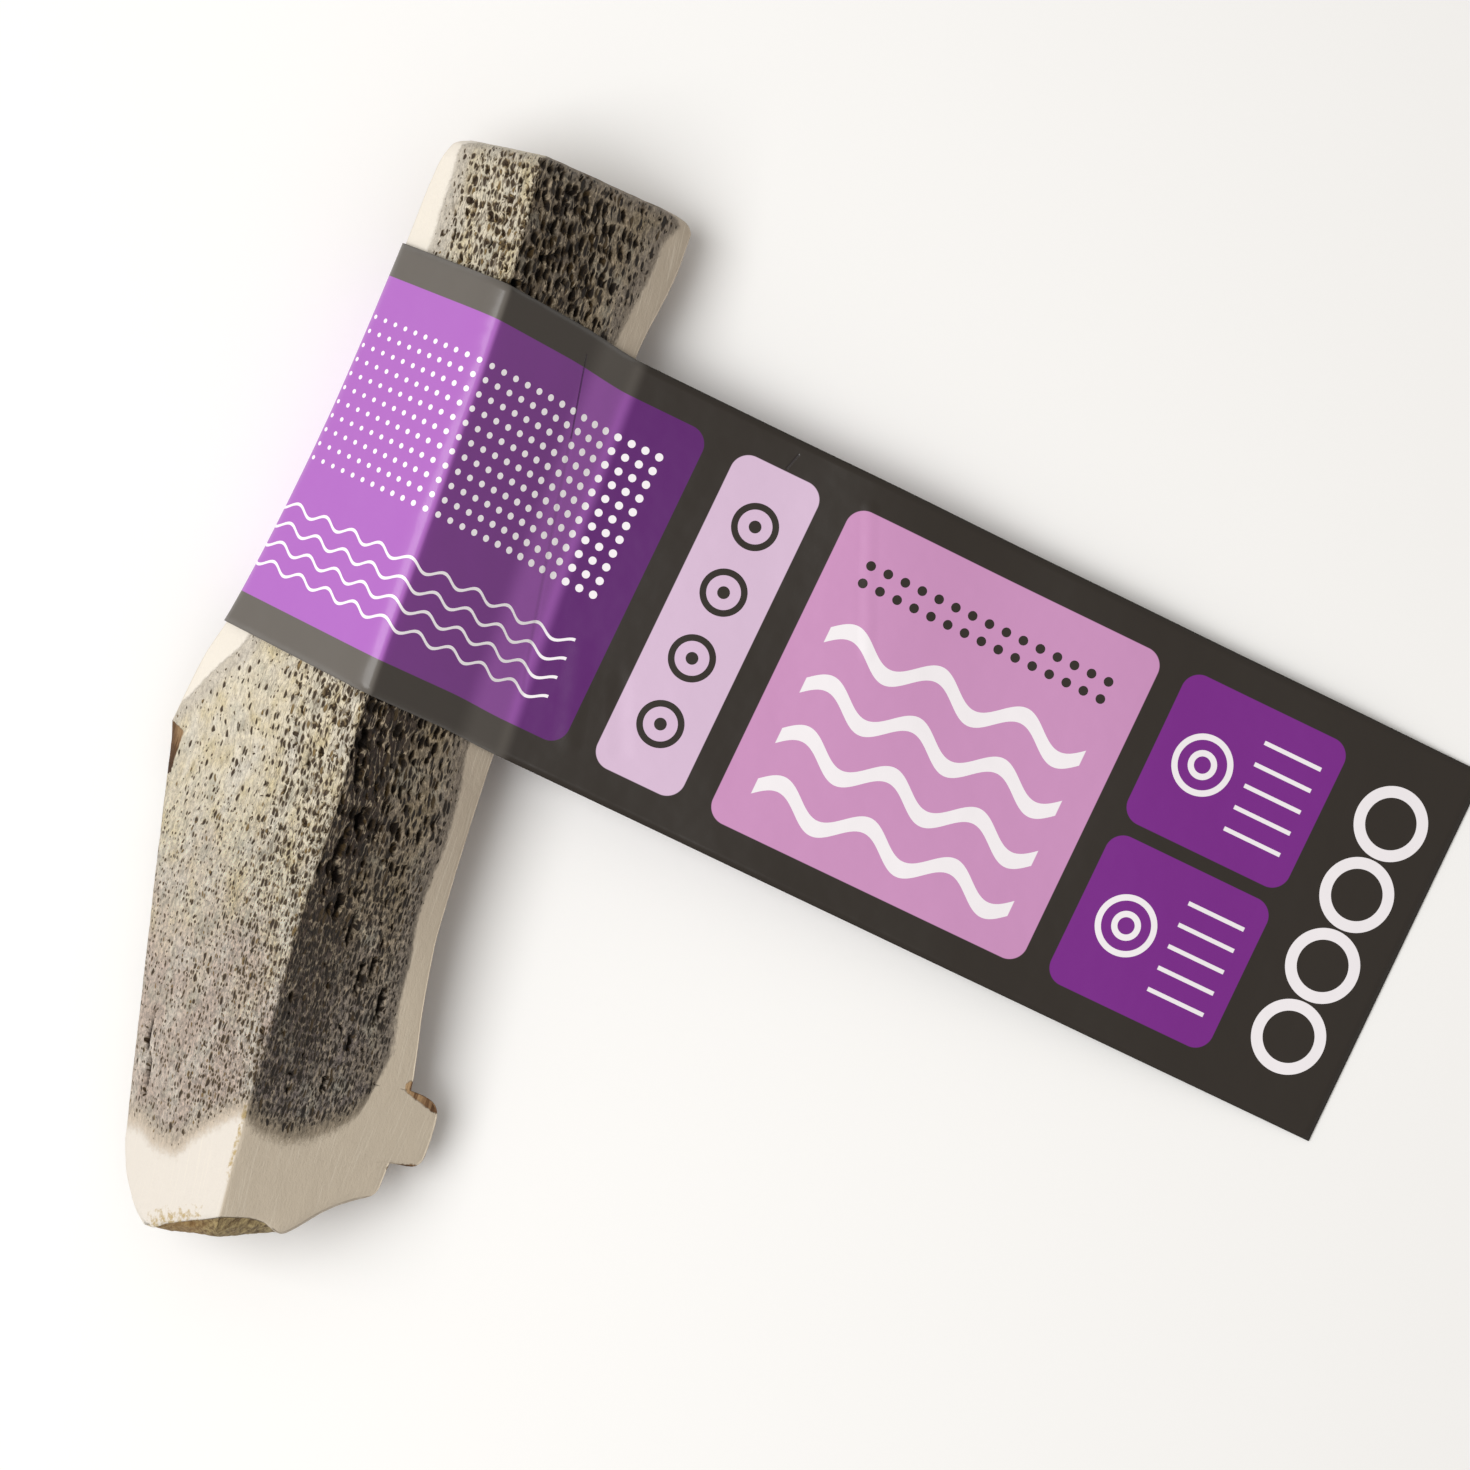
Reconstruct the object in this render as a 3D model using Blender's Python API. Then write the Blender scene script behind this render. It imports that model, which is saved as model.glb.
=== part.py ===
# Split reindeer antler: a wedge sawn lengthwise out of the base of a beam, wrapped once by a strip
# of printed film whose two ends are stuck back to back as a flag.
# The wedge lies on its rounded bark side. +Y runs from the cast base to the sawn upper end, +Z is up
# towards the ridge where the two sawn faces meet, and the flag reaches out towards +X.

import math
import random

import bmesh
import bpy
from mathutils import Matrix

MM = 0.001

# Lengths are in millimetres. Outlines are pairs: the distance along the beam, then the value there.

# Ridge between the two sawn faces
RIDGE_X = (
    (4.0, 3.0),
    (23.0, 2.0),
    (48.0, 0.9),
    (57.0, 0.9),
    (67.0, 0.2),
    (123.0, 0.8),
    (139.7, -0.4),
)
RIDGE_Z = ((4.0, 21.4), (14.0, 22.4), (60.0, 22.6), (136.2, 22.6), (138.4, 21.9), (139.7, 20.0))
LEFT_SLOPE = 0.74  # fall of the left sawn face for each millimetre across
RIGHT_SLOPE = 0.80

# Outer edges of the sawn faces, seen from above
LEFT_EDGE = (
    (59.4, -24.4),
    (67.5, -23.1),
    (75.0, -21.0),
    (90.0, -18.2),
    (104.0, -16.3),
    (125.0, -14.4),
    (135.0, -13.6),
    (138.2, -12.6),
    (139.7, -10.9),
)
RIGHT_EDGE = (
    (9.0, 18.6),
    (12.0, 19.6),
    (20.0, 19.9),
    (26.0, 19.4),
    (36.0, 17.7),
    (46.0, 16.6),
    (67.0, 16.2),
    (95.0, 16.5),
    (121.0, 17.4),
    (134.0, 18.9),
    (137.6, 18.9),
    (139.2, 17.6),
    (139.7, 16.2),
)

# Third saw cut, where a tine was taken off low on the left
TINE_TOP = 59.4
TINE_SPREAD = 0.232  # sideways run of the cut for each millimetre along
TINE_LEAN = 0.10  # how far the cut leans in under the face, for each millimetre down
TINE_HEIGHT = ((4.0, 4.6), (18.0, 5.0), (30.0, 3.9), (44.0, 3.0), (54.0, 1.6), (59.4, 0.0))
BASE_LEFT = ((2.0, 1.5), (5.3, 0.45), (8.5, 0.0))  # rounding of the lower left corner

# Bark side
BACK_Z = (
    (4.0, 5.8),
    (14.0, 5.4),
    (30.0, 4.4),
    (46.0, 3.0),
    (60.0, 1.4),
    (72.0, 0.62),
    (122.0, 0.62),
    (136.0, 1.0),
    (139.7, 2.4),
)
BACK_BEND = math.radians(56.0)  # half the arc that the bark side spans
GROOVE_DEPTH = 0.7
GROOVES = 6
GROOVE_WANDER = ((0.5, 23.0, 0.0), (0.25, 9.0, 2.0))  # swing, length and start of two slow waves

# Burr, a knobbly ring round the bark just above the cast base
BURR_CENTRE = 15.9
BURR_REACH = 7.8
BURR_HEIGHT = 4.8
BURR_KNOBS = 10.0
BURR_LEVEL = 0.8  # height halfway between the knobs, as a share of the burr's height
BURR_KNOB_SHARE = 0.2
BURR_UNEVEN = 0.1
BURR_UNEVEN_RATE = 2.3
BURR_SHOULDER = 6.0  # the higher, the squarer the burr's profile
BURR_FADE = 6.0  # how soon it rises from the tine cut

# Cast base. Seen from above, pairs of x and the distance along: its outermost edge, and how far back
# from there its worn upper lip lies.
BASE_EDGE = (
    (-12.6, 5.6),
    (-10.6, 3.2),
    (-8.8, 1.3),
    (-6.1, -0.7),
    (-4.6, -1.0),
    (-0.4, 0.2),
    (6.4, 2.2),
    (10.3, 3.7),
    (13.8, 7.2),
    (16.0, 8.9),
    (19.2, 10.1),
    (21.0, 9.6),
    (24.0, 7.8),
)
BASE_LIP = ((-6.5, 0.0), (-3.9, 1.8), (0.7, 2.9), (3.1, 3.4), (5.8, 3.1), (7.8, 2.4), (10.3, 0.2))
BASE_LIP_REACH = 5.0  # how far below the sawn faces the lip starts to fall back
BASE_LIP_AT = 4.0  # where along the beam the height of the faces is taken for it
BASE_MIDDLE = (2.5, 13.0)
BASE_HALF_HEIGHT = 8.5
BASE_FALL_BELOW = 1.5
BASE_DEPTH = 27.0  # above this the stations stand square to the beam

# Pits left by the largest pores of the core in the sawn faces
PIT_SEED = 11
PIT_ALONG = 6.4
PIT_ACROSS = 3.9
PIT_HALF_WIDTH = (0.42, 0.68)
PIT_HALF_LENGTH = (1.1, 1.7)
PIT_DEPTH = 0.85
PIT_REGION = (18.0, 135.5)  # the base is solid bone
PIT_NEXT_TO_RIDGE = 2.6
PIT_NEXT_TO_LEFT_EDGE = 4.6
PIT_NEXT_TO_TINE_CUT = 2.2
PIT_NEXT_TO_RIGHT_EDGE = 5.0
PIT_COLUMNS = 6
PIT_SHIFT_ALONG = 0.2
PIT_SHIFT_ACROSS = 0.14
PIT_TURN = 0.2

# Film strip
STRIP_TURN = math.radians(-7.2)  # the strip's length against +X
STRIP_MIDDLE = 95.65  # the flag's middle line, measured along its own width
STRIP_WIDTH = 51.9
STRIP_RISE = 0.4  # how much higher up the beam the wrap sits than the flag
STRIP_RISE_OVER = 8.0
STRIP_GAP = 0.3
FILM = 0.3  # one layer of the strip; the flag has two
FLAG_END = 121.6  # measured along the strip's own length
FLAG_MEET = 2.6  # from the right edge of the antler to where the two layers meet
FLAG_WAVE = 0.55
FLAG_WAVE_AT = 36.0
FLAG_WAVE_REACH = 17.0

STATIONS_BASE = (0.0, 2.5, 5.5, 8.1, 8.35, 8.9, 10.5, 14.0, 17.5, 20.5, 22.4, 23.2, 23.6, 24.2)
STATIONS_BEAM = (
    27.0, 31.5, 36.0, 41.0, 46.0, 51.0, 55.5, 59.4, 64.0, 69.0, 75.0, 82.0, 90.0, 98.0,
    106.0, 113.0, 119.0, 125.0, 130.0, 134.0, 136.6, 138.2, 139.2, 139.7,
)
FACE_STEPS = 3
WALL_STEPS = 2
ARC_STEPS = 30
BASE_RINGS = (0.86, 0.6, 0.3)
SETTLING = 40  # rounds in which a point on a slanting section finds its place along the beam
STRIP_ROWS = 5
STRIP_ARC_STEPS = 16
FLAG_STEPS = (0.0, 9.0, 19.0, 27.5, 36.0, 44.5, 53.0, 68.0, 90.0)


def follow(points, at):
    # A smooth line through the points that never overshoots them
    if at <= points[0][0]:
        return points[0][1]
    if at >= points[-1][0]:
        return points[-1][1]
    slopes = [(b[1] - a[1]) / (b[0] - a[0]) for a, b in zip(points, points[1:])]
    tangents = [slopes[0]]
    for before, after in zip(slopes, slopes[1:]):
        same_way = before * after > 0.0
        tangents.append(2.0 * before * after / (before + after) if same_way else 0.0)
    tangents.append(slopes[-1])
    i = max(k for k in range(len(points) - 1) if points[k][0] <= at)
    run = points[i + 1][0] - points[i][0]
    t = (at - points[i][0]) / run
    return (
        points[i][1] * (1 + 2 * t) * (1 - t) ** 2
        + run * tangents[i] * t * (1 - t) ** 2
        + points[i + 1][1] * t * t * (3 - 2 * t)
        + run * tangents[i + 1] * t * t * (t - 1)
    )


def face_height(x, y):
    across = x - follow(RIDGE_X, y)
    slope = RIGHT_SLOPE if across > 0.0 else LEFT_SLOPE
    return follow(RIDGE_Z, y) - abs(across) * slope


def left_edge(y):
    if y >= TINE_TOP:
        return follow(LEFT_EDGE, y)
    cut = follow(LEFT_EDGE, TINE_TOP) + (TINE_TOP - y) * TINE_SPREAD
    return cut + follow(BASE_LEFT, y)


def burr(station, q):
    away = abs(station - BURR_CENTRE) / BURR_REACH
    if away >= 1.0:
        return 0.0
    knobs = BURR_LEVEL + BURR_KNOB_SHARE * math.cos(BURR_KNOBS * math.pi * (1.0 - q))
    knobs += BURR_UNEVEN * math.sin(BURR_UNEVEN_RATE * station) * (1.0 - q)
    rise = min(1.0, BURR_FADE * q)
    return BURR_HEIGHT * knobs * rise * math.sqrt(1.0 - away**BURR_SHOULDER)


def grooves(y, q):
    wander = sum(swing * math.sin(y / length + start) for swing, length, start in GROOVE_WANDER)
    wave = math.sin(2.0 * math.pi * GROOVES * q + wander)
    middle = math.sin(math.pi * q)
    return -GROOVE_DEPTH * middle * (0.5 - 0.5 * wave) ** 2


def bark_point(station, y, q, relief):
    # q runs round the bark side, from the left edge (0) to the right edge (1)
    left = left_edge(y)
    top = face_height(left, y)
    wall = follow(TINE_HEIGHT, y)
    start = (left + wall * TINE_LEAN, top - wall)
    right = follow(RIGHT_EDGE, y)
    end = (right, face_height(right, y))
    turn = BACK_BEND * (2.0 * q - 1.0)
    share = 0.5 + 0.5 * math.sin(turn) / math.sin(BACK_BEND)
    sag = 0.5 * (start[1] + end[1]) - follow(BACK_Z, y)
    drop = sag * (math.cos(turn) - math.cos(BACK_BEND)) / (1.0 - math.cos(BACK_BEND))
    x = start[0] + share * (end[0] - start[0])
    z = start[1] + share * (end[1] - start[1]) - drop
    if relief:
        out_x = x - follow(RIDGE_X, y)
        out_z = z - follow(RIDGE_Z, y)
        away = math.hypot(out_x, out_z)
        swell = burr(station, q) + grooves(y, q)
        x += swell * out_x / away
        z += swell * out_z / away
    if y < TINE_TOP:
        x = max(x, left + (top - z) * TINE_LEAN)
    return x, z


def section_point(station, y, part, q, relief=True):
    # One point of the cross-section: on the left face, the tine cut, the bark or the right face
    if part == "bark":
        return bark_point(station, y, q, relief)
    if part == "right":
        edge = bark_point(station, y, 1.0, relief)[0]
        x = edge + q * (follow(RIDGE_X, y) - edge)
        return x, face_height(x, y)
    left = left_edge(y)
    if part == "left":
        x = follow(RIDGE_X, y) + q * (left - follow(RIDGE_X, y))
        return x, face_height(x, y)
    down = q * follow(TINE_HEIGHT, y)
    return left + down * TINE_LEAN, face_height(left, y) - down


def base_surface(x, z):
    below_face = face_height(x, BASE_LIP_AT) - z
    lip = follow(BASE_LIP, x) * max(0.0, 1.0 - below_face / BASE_LIP_REACH) ** 2
    below_middle = max(0.0, BASE_MIDDLE[1] - z) / BASE_HALF_HEIGHT
    return follow(BASE_EDGE, x) + lip + BASE_FALL_BELOW * below_middle**2


def ring_point(station, part, q):
    y = station
    if station >= BASE_DEPTH:
        x, z = section_point(station, y, part, q)
        return x, y, z
    share = station / BASE_DEPTH
    for _ in range(SETTLING):
        x, z = section_point(station, y, part, q)
        end = base_surface(x, z)
        y = 0.5 * y + 0.5 * (end + (BASE_DEPTH - end) * share)
    return x, y, z


def ring_steps():
    steps = [("left", i / FACE_STEPS) for i in range(FACE_STEPS)]
    steps += [("tine", i / WALL_STEPS) for i in range(WALL_STEPS)]
    steps += [("bark", i / ARC_STEPS) for i in range(ARC_STEPS)]
    steps += [("right", i / FACE_STEPS) for i in range(FACE_STEPS)]
    return steps


def bridge(mesh, ring, following):
    for i in range(len(ring)):
        j = (i + 1) % len(ring)
        mesh.faces.new((ring[i], ring[j], following[j], following[i]))


def finish_mesh(mesh, name, collection, material):
    bmesh.ops.remove_doubles(mesh, verts=mesh.verts, dist=0.00001)
    bmesh.ops.dissolve_degenerate(mesh, edges=mesh.edges, dist=0.00001)
    bmesh.ops.recalc_face_normals(mesh, faces=mesh.faces)
    data = bpy.data.meshes.new(name)
    mesh.to_mesh(data)
    mesh.free()
    thing = bpy.data.objects.new(name, data)
    collection.objects.link(thing)
    if material:
        data.materials.append(material)
    return thing


def build_antler(collection, material):
    mesh = bmesh.new()
    rings = []
    for station in STATIONS_BASE + STATIONS_BEAM:
        points = [ring_point(station, part, q) for part, q in ring_steps()]
        rings.append([mesh.verts.new([MM * c for c in p]) for p in points])
    for ring, following in zip(rings, rings[1:]):
        bridge(mesh, ring, following)
    mesh.faces.new(rings[-1])
    # the cast base closes towards its middle in rings that follow its dome
    outer = rings[0]
    edge = [[c / MM for c in v.co] for v in outer]
    for share in BASE_RINGS:
        ring = []
        for x, _, z in edge:
            x = BASE_MIDDLE[0] + share * (x - BASE_MIDDLE[0])
            z = BASE_MIDDLE[1] + share * (z - BASE_MIDDLE[1])
            ring.append(mesh.verts.new([MM * c for c in (x, base_surface(x, z), z)]))
        bridge(mesh, ring, outer)
        outer = ring
    x, z = BASE_MIDDLE
    middle = mesh.verts.new([MM * c for c in (x, base_surface(x, z), z)])
    for i in range(len(outer)):
        mesh.faces.new((outer[i], middle, outer[(i + 1) % len(outer)]))
    return finish_mesh(mesh, "antler", collection, material)


def pit_places():
    # A loose grid over both sawn faces, each pit shifted at random inside its own cell
    chance = random.Random(PIT_SEED)
    places = []
    rows = int((PIT_REGION[1] - PIT_REGION[0]) / PIT_ALONG)
    for row in range(rows):
        for side in (-1, 1):
            for column in range(PIT_COLUMNS):
                stagger = 0.5 * (row % 2)
                along = chance.uniform(-PIT_SHIFT_ALONG, PIT_SHIFT_ALONG)
                aside = chance.uniform(-PIT_SHIFT_ACROSS, PIT_SHIFT_ACROSS)
                y = PIT_REGION[0] + PIT_ALONG * (row + 0.5 + along)
                across = PIT_NEXT_TO_RIDGE + PIT_ACROSS * (column + stagger + aside)
                half_width = chance.uniform(*PIT_HALF_WIDTH)
                half_length = chance.uniform(*PIT_HALF_LENGTH)
                turn = chance.uniform(-PIT_TURN, PIT_TURN)
                x = follow(RIDGE_X, y) + side * across
                if side > 0:
                    inside = x < follow(RIGHT_EDGE, y) - PIT_NEXT_TO_RIGHT_EDGE
                else:
                    rim = PIT_NEXT_TO_LEFT_EDGE if y > TINE_TOP else PIT_NEXT_TO_TINE_CUT
                    inside = x > left_edge(y) + rim
                if inside:
                    places.append((x, y, side, half_width, half_length, turn))
    return places


def build_pits(collection):
    mesh = bmesh.new()
    for x, y, side, half_width, half_length, turn in pit_places():
        grown = bmesh.ops.create_uvsphere(mesh, u_segments=6, v_segments=4, radius=1.0)["verts"]
        slope = math.atan(RIGHT_SLOPE if side > 0 else -LEFT_SLOPE)
        for v in grown:
            # the sphere's own axis goes down into the bone
            a = half_width * v.co.x
            b = half_length * v.co.y
            c = PIT_DEPTH * v.co.z
            a, b = a * math.cos(turn) - b * math.sin(turn), a * math.sin(turn) + b * math.cos(turn)
            dx = a * math.cos(slope) + c * math.sin(slope)
            dz = c * math.cos(slope) - a * math.sin(slope)
            v.co = [MM * (x + dx), MM * (y + b), MM * (face_height(x, y) + dz)]
    cutters = finish_mesh(mesh, "core pits", collection, None)
    cutters.display_type = "WIRE"
    cutters.hide_render = True
    return cutters


def cut(thing, cutter):
    modifier = thing.modifiers.new("pits", "BOOLEAN")
    modifier.operation = "DIFFERENCE"
    modifier.solver = "EXACT"
    modifier.object = cutter


def strip_section(v):
    # The antler's outline under one line across the strip, in the strip's own length and height: from
    # the right edge over the ridge to the left edge, and round the bark side back to the right edge.
    # With it goes how far each point is shifted up the beam.
    steps = [("right", 0.0), ("right", 0.5), ("left", 0.0), ("left", 0.5)]
    steps += [("bark", i / STRIP_ARC_STEPS) for i in range(STRIP_ARC_STEPS + 1)]
    outline = []
    rises = []
    for part, q in steps:
        y = v
        rise = 0.0
        for _ in range(SETTLING):
            x, z = section_point(y, y, part, q, relief=False)
            y = (v + rise + x * math.sin(STRIP_TURN)) / math.cos(STRIP_TURN)
            u = x * math.cos(STRIP_TURN) + y * math.sin(STRIP_TURN)
            inwards = (outline[0][0] - u) / STRIP_RISE_OVER if outline else 0.0
            rise = STRIP_RISE * (0.5 - 0.5 * math.cos(math.pi * min(1.0, max(0.0, inwards))))
        outline.append((u, z))
        rises.append(rise)
    return outline, rises


def edge_normal(a, b):
    # outwards, for an outline that runs anticlockwise
    run = math.hypot(b[0] - a[0], b[1] - a[1])
    return (b[1] - a[1]) / run, (a[0] - b[0]) / run


def offset(outline, distance):
    # The outline moved outwards with its corners kept sharp. Its last point repeats the first, and
    # there the layers part, so the two ends are moved square to their own edges only.
    normals = [edge_normal(a, b) for a, b in zip(outline, outline[1:])]
    first = (outline[0][0] + distance * normals[0][0], outline[0][1] + distance * normals[0][1])
    last = (outline[-1][0] + distance * normals[-1][0], outline[-1][1] + distance * normals[-1][1])
    moved = [first]
    for point, before, after in zip(outline[1:-1], normals, normals[1:]):
        scale = distance / (1.0 + before[0] * after[0] + before[1] * after[1])
        moved.append((point[0] + scale * (before[0] + after[0]), point[1] + scale * (before[1] + after[1])))
    return moved + [last]


def flag_line(edge):
    # The flag's middle plane: from where the layers meet it falls to the table, with one shallow wave
    start = edge[0] + FLAG_MEET
    line = []
    for along in FLAG_STEPS + (FLAG_END - start,):
        height = edge[1] + along / (FLAG_END - start) * (FILM - edge[1])
        near = abs(along - FLAG_WAVE_AT) / FLAG_WAVE_REACH
        if near < 1.0:
            height += FLAG_WAVE * (0.5 + 0.5 * math.cos(math.pi * near))
        line.append((start + along, height))
    return line


def build_label(collection, material):
    mesh = bmesh.new()

    def place(point, v):
        x = point[0] * math.cos(STRIP_TURN) - v * math.sin(STRIP_TURN)
        y = point[0] * math.sin(STRIP_TURN) + v * math.cos(STRIP_TURN)
        return mesh.verts.new((MM * x, MM * y, MM * point[1]))

    rows = []
    for row in range(STRIP_ROWS):
        v = STRIP_MIDDLE + STRIP_WIDTH * (row / (STRIP_ROWS - 1) - 0.5)
        outline, rises = strip_section(v)
        flag = flag_line(outline[0])
        top = [place((u, z + FILM), v) for u, z in flag]
        bottom = [place((u, z - FILM), v) for u, z in flag]
        meet = place(flag[0], v)
        wraps = [
            [place(point, v + rise) for point, rise in zip(offset(outline, away), rises)]
            for away in (STRIP_GAP, STRIP_GAP + FILM)
        ]
        inner = [meet] + wraps[0] + [meet]
        outer = [top[0]] + wraps[1] + [bottom[0]]
        rows.append((top, bottom, inner, outer))
    for low, high in zip(rows, rows[1:]):
        skin = [low[0][::-1] + low[3][1:-1] + low[1], high[0][::-1] + high[3][1:-1] + high[1]]
        bridge(mesh, skin[0], skin[1])
        bridge(mesh, low[2][:-1], high[2][:-1])
    for top, bottom, inner, outer in (rows[0], rows[-1]):
        for i in range(len(inner) - 1):
            mesh.faces.new((inner[i], inner[i + 1], outer[i + 1], outer[i]))
        mesh.faces.new((top[0], top[1], bottom[1], bottom[0], inner[0]))
        for i in range(1, len(top) - 1):
            mesh.faces.new((top[i], top[i + 1], bottom[i + 1], bottom[i]))
    return finish_mesh(mesh, "label", collection, material)


def principled(name, colour, roughness):
    material = bpy.data.materials.new(name)
    material.use_nodes = True
    shader = material.node_tree.nodes["Principled BSDF"]
    shader.inputs["Base Color"].default_value = (*colour, 1.0)
    shader.inputs["Roughness"].default_value = roughness
    return material


def stand_on_table(things, followers):
    # the frame's origin is on the table, under the middle of the piece
    corners = [v.co for thing in things for v in thing.data.vertices]
    low = [min(c[i] for c in corners) for i in range(3)]
    high = [max(c[i] for c in corners) for i in range(3)]
    shift = (-0.5 * (low[0] + high[0]), -0.5 * (low[1] + high[1]), -low[2])
    for thing in things + followers:
        thing.data.transform(Matrix.Translation(shift))
    print("shift to the table, mm:", [round(c / MM, 3) for c in shift])


def main():
    for thing in list(bpy.data.objects):
        bpy.data.objects.remove(thing, do_unlink=True)
    piece = bpy.data.collections.new("split antler")
    cutters = bpy.data.collections.new("cutters")
    for collection in (piece, cutters):
        bpy.context.scene.collection.children.link(collection)
    bone = principled("sawn antler bone", (0.62, 0.54, 0.42), 0.6)
    film = principled("printed film", (0.22, 0.06, 0.27), 0.35)
    antler = build_antler(piece, bone)
    label = build_label(piece, film)
    pits = build_pits(cutters)
    stand_on_table([antler, label], [pits])
    cut(antler, pits)


main()
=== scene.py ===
import math

import bpy
import numpy as np
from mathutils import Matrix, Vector
from mathutils.geometry import delaunay_2d_cdt


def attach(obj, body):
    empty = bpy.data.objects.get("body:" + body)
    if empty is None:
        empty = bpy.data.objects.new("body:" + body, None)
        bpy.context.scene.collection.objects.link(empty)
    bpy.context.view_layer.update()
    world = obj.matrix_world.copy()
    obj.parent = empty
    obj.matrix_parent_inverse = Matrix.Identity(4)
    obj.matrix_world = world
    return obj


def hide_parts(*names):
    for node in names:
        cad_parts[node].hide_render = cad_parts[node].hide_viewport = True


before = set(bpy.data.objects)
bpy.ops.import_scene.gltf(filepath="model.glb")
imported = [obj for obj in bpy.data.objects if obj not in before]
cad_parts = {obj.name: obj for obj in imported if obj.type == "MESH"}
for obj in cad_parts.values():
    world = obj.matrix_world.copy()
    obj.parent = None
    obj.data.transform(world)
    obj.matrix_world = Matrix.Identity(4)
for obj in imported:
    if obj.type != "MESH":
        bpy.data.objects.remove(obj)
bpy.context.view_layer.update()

mm = 0.001
toTable = np.array((-55.741, -69.392, 0.122))  # from the measured outlines to the frame, whose origin is on the table
print("frame loaded:", sorted(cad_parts))

# Lengths below are in millimetres. Outlines are pairs: the distance along the beam, then the value there.
antler = dict(
    ridgeX=((4, 3.0), (23, 2.0), (48, 0.9), (57, 0.9), (67, 0.2), (123, 0.8), (139.7, -0.4)),
    ridgeZ=((4, 21.4), (14, 22.4), (60, 22.6), (136.2, 22.6), (138.4, 21.9), (139.7, 20.0)),
    leftSlope=0.74,
    rightSlope=0.80,
    leftEdge=((59.4, -24.4), (67.5, -23.1), (75, -21.0), (90, -18.2), (104, -16.3), (125, -14.4), (135, -13.6),
              (138.2, -12.6), (139.7, -10.9)),
    rightEdge=((9, 18.6), (12, 19.6), (20, 19.9), (26, 19.4), (36, 17.7), (46, 16.6), (67, 16.2), (95, 16.5),
               (121, 17.4), (134, 18.9), (137.6, 18.9), (139.2, 17.6), (139.7, 16.2)),
    tineTop=59.4,  # a third saw cut, where a tine was taken off low on the left
    tineSpread=0.232,
    tineLean=0.10,
    tineHeight=((4, 4.6), (18, 5.0), (30, 3.9), (44, 3.0), (54, 1.6), (59.4, 0.0)),
    baseLeft=((2.0, 1.5), (5.3, 0.45), (8.5, 0.0)),
    backZ=((4, 5.8), (14, 5.4), (30, 4.4), (46, 3.0), (60, 1.4), (72, 0.62), (122, 0.62), (136, 1.0), (139.7, 2.4)),
    backBend=math.radians(56),
    grooves=6,
    grooveDepth=0.7,
    burrCentre=15.9,
    burrReach=7.8,
    burrHeight=4.8,
    burrKnobs=10,
    baseEdge=((-12.6, 5.6), (-10.6, 3.2), (-8.8, 1.3), (-6.1, -0.7), (-4.6, -1.0), (-0.4, 0.2), (6.4, 2.2),
              (10.3, 3.7), (13.8, 7.2), (16, 8.9), (19.2, 10.1), (21, 9.6), (24, 7.8)),
    baseLip=((-6.5, 0), (-3.9, 1.8), (0.7, 2.9), (3.1, 3.4), (5.8, 3.1), (7.8, 2.4), (10.3, 0.2)),
    baseLipReach=5.0,  # how far below the sawn faces the worn lip of the base starts to fall back
    baseLipAt=4.0,
    baseMiddle=(2.5, 13.0),
    baseHalfHeight=8.5,
    baseFall=1.5,  # how far the cast base falls back below its middle
    baseDepth=27.0,
    sawnEnd=139.7,
    topMiddle=(1.5, 11.5),
    steps=dict(left=30, tine=8, bark=90, right=30),  # points that each part of a section is measured at
    rows=((0, 9, 0.45), (9, 74.5, 0.235), (74.5, 118.5, 2.2), (118.5, 139.7, 0.235)),  # wide apart under the film
    columns=(98, 46, 78),  # left face with the tine cut, bark side, right face
    capRings=(0.98, 0.955, 0.925, 0.885, 0.84),
    capNet=(0.52, 0.32),  # spacing of the points inside the rings, at the base and at the sawn end
    wear=(0.7, 0.9, 1.1, 1.1),  # how wide the ridge, the tine cut's edge and the left and right edges are worn round
    endWear=(1.5, 0.9),
)


def follow(points, at):  # a smooth line through the points that never overshoots them
    places, values = np.array(points, float).T
    at = np.clip(at, places[0], places[-1])
    slopes = np.diff(values) / np.diff(places)
    before, after = slopes[:-1], slopes[1:]
    sameWay = before * after > 0
    middle = np.where(sameWay, 2 * before * after / np.where(sameWay, before + after, 1), 0)
    tangents = np.concatenate((slopes[:1], middle, slopes[-1:]))
    i = np.clip(np.searchsorted(places, at, side="right") - 1, 0, len(places) - 2)
    run = places[i + 1] - places[i]
    t = (at - places[i]) / run
    start = values[i] * (1 + 2 * t) + run * tangents[i] * t
    end = values[i + 1] * (3 - 2 * t) + run * tangents[i + 1] * (t - 1)
    return start * (1 - t) ** 2 + end * t * t


def ease(value, low, high):  # 0 below low, 1 above high, smooth between
    t = np.clip((value - low) / (high - low), 0, 1)
    return t * t * (3 - 2 * t)


def faceHeight(x, y):
    across = x - follow(antler["ridgeX"], y)
    slope = np.where(across > 0, antler["rightSlope"], antler["leftSlope"])
    return follow(antler["ridgeZ"], y) - np.abs(across) * slope


def leftEdge(y):
    above = follow(antler["leftEdge"], y)
    cut = above + (antler["tineTop"] - y) * antler["tineSpread"] + follow(antler["baseLeft"], y)
    return np.where(y >= antler["tineTop"], above, cut)


def burrSwell(station, q):
    away = np.abs(station - antler["burrCentre"]) / antler["burrReach"]
    knobs = 0.8 + 0.2 * np.cos(antler["burrKnobs"] * np.pi * (1 - q)) + 0.1 * np.sin(2.3 * station) * (1 - q)
    return antler["burrHeight"] * knobs * np.sqrt(np.clip(1 - away**6, 0, 1)) * np.minimum(1, 6 * q)


def barkGrooves(y, q):
    wander = 0.5 * np.sin(y / 23) + 0.25 * np.sin(y / 9 + 2)
    wave = np.sin(2 * np.pi * antler["grooves"] * q + wander)
    return -antler["grooveDepth"] * np.sin(np.pi * q) * (0.5 - 0.5 * wave) ** 2


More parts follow.
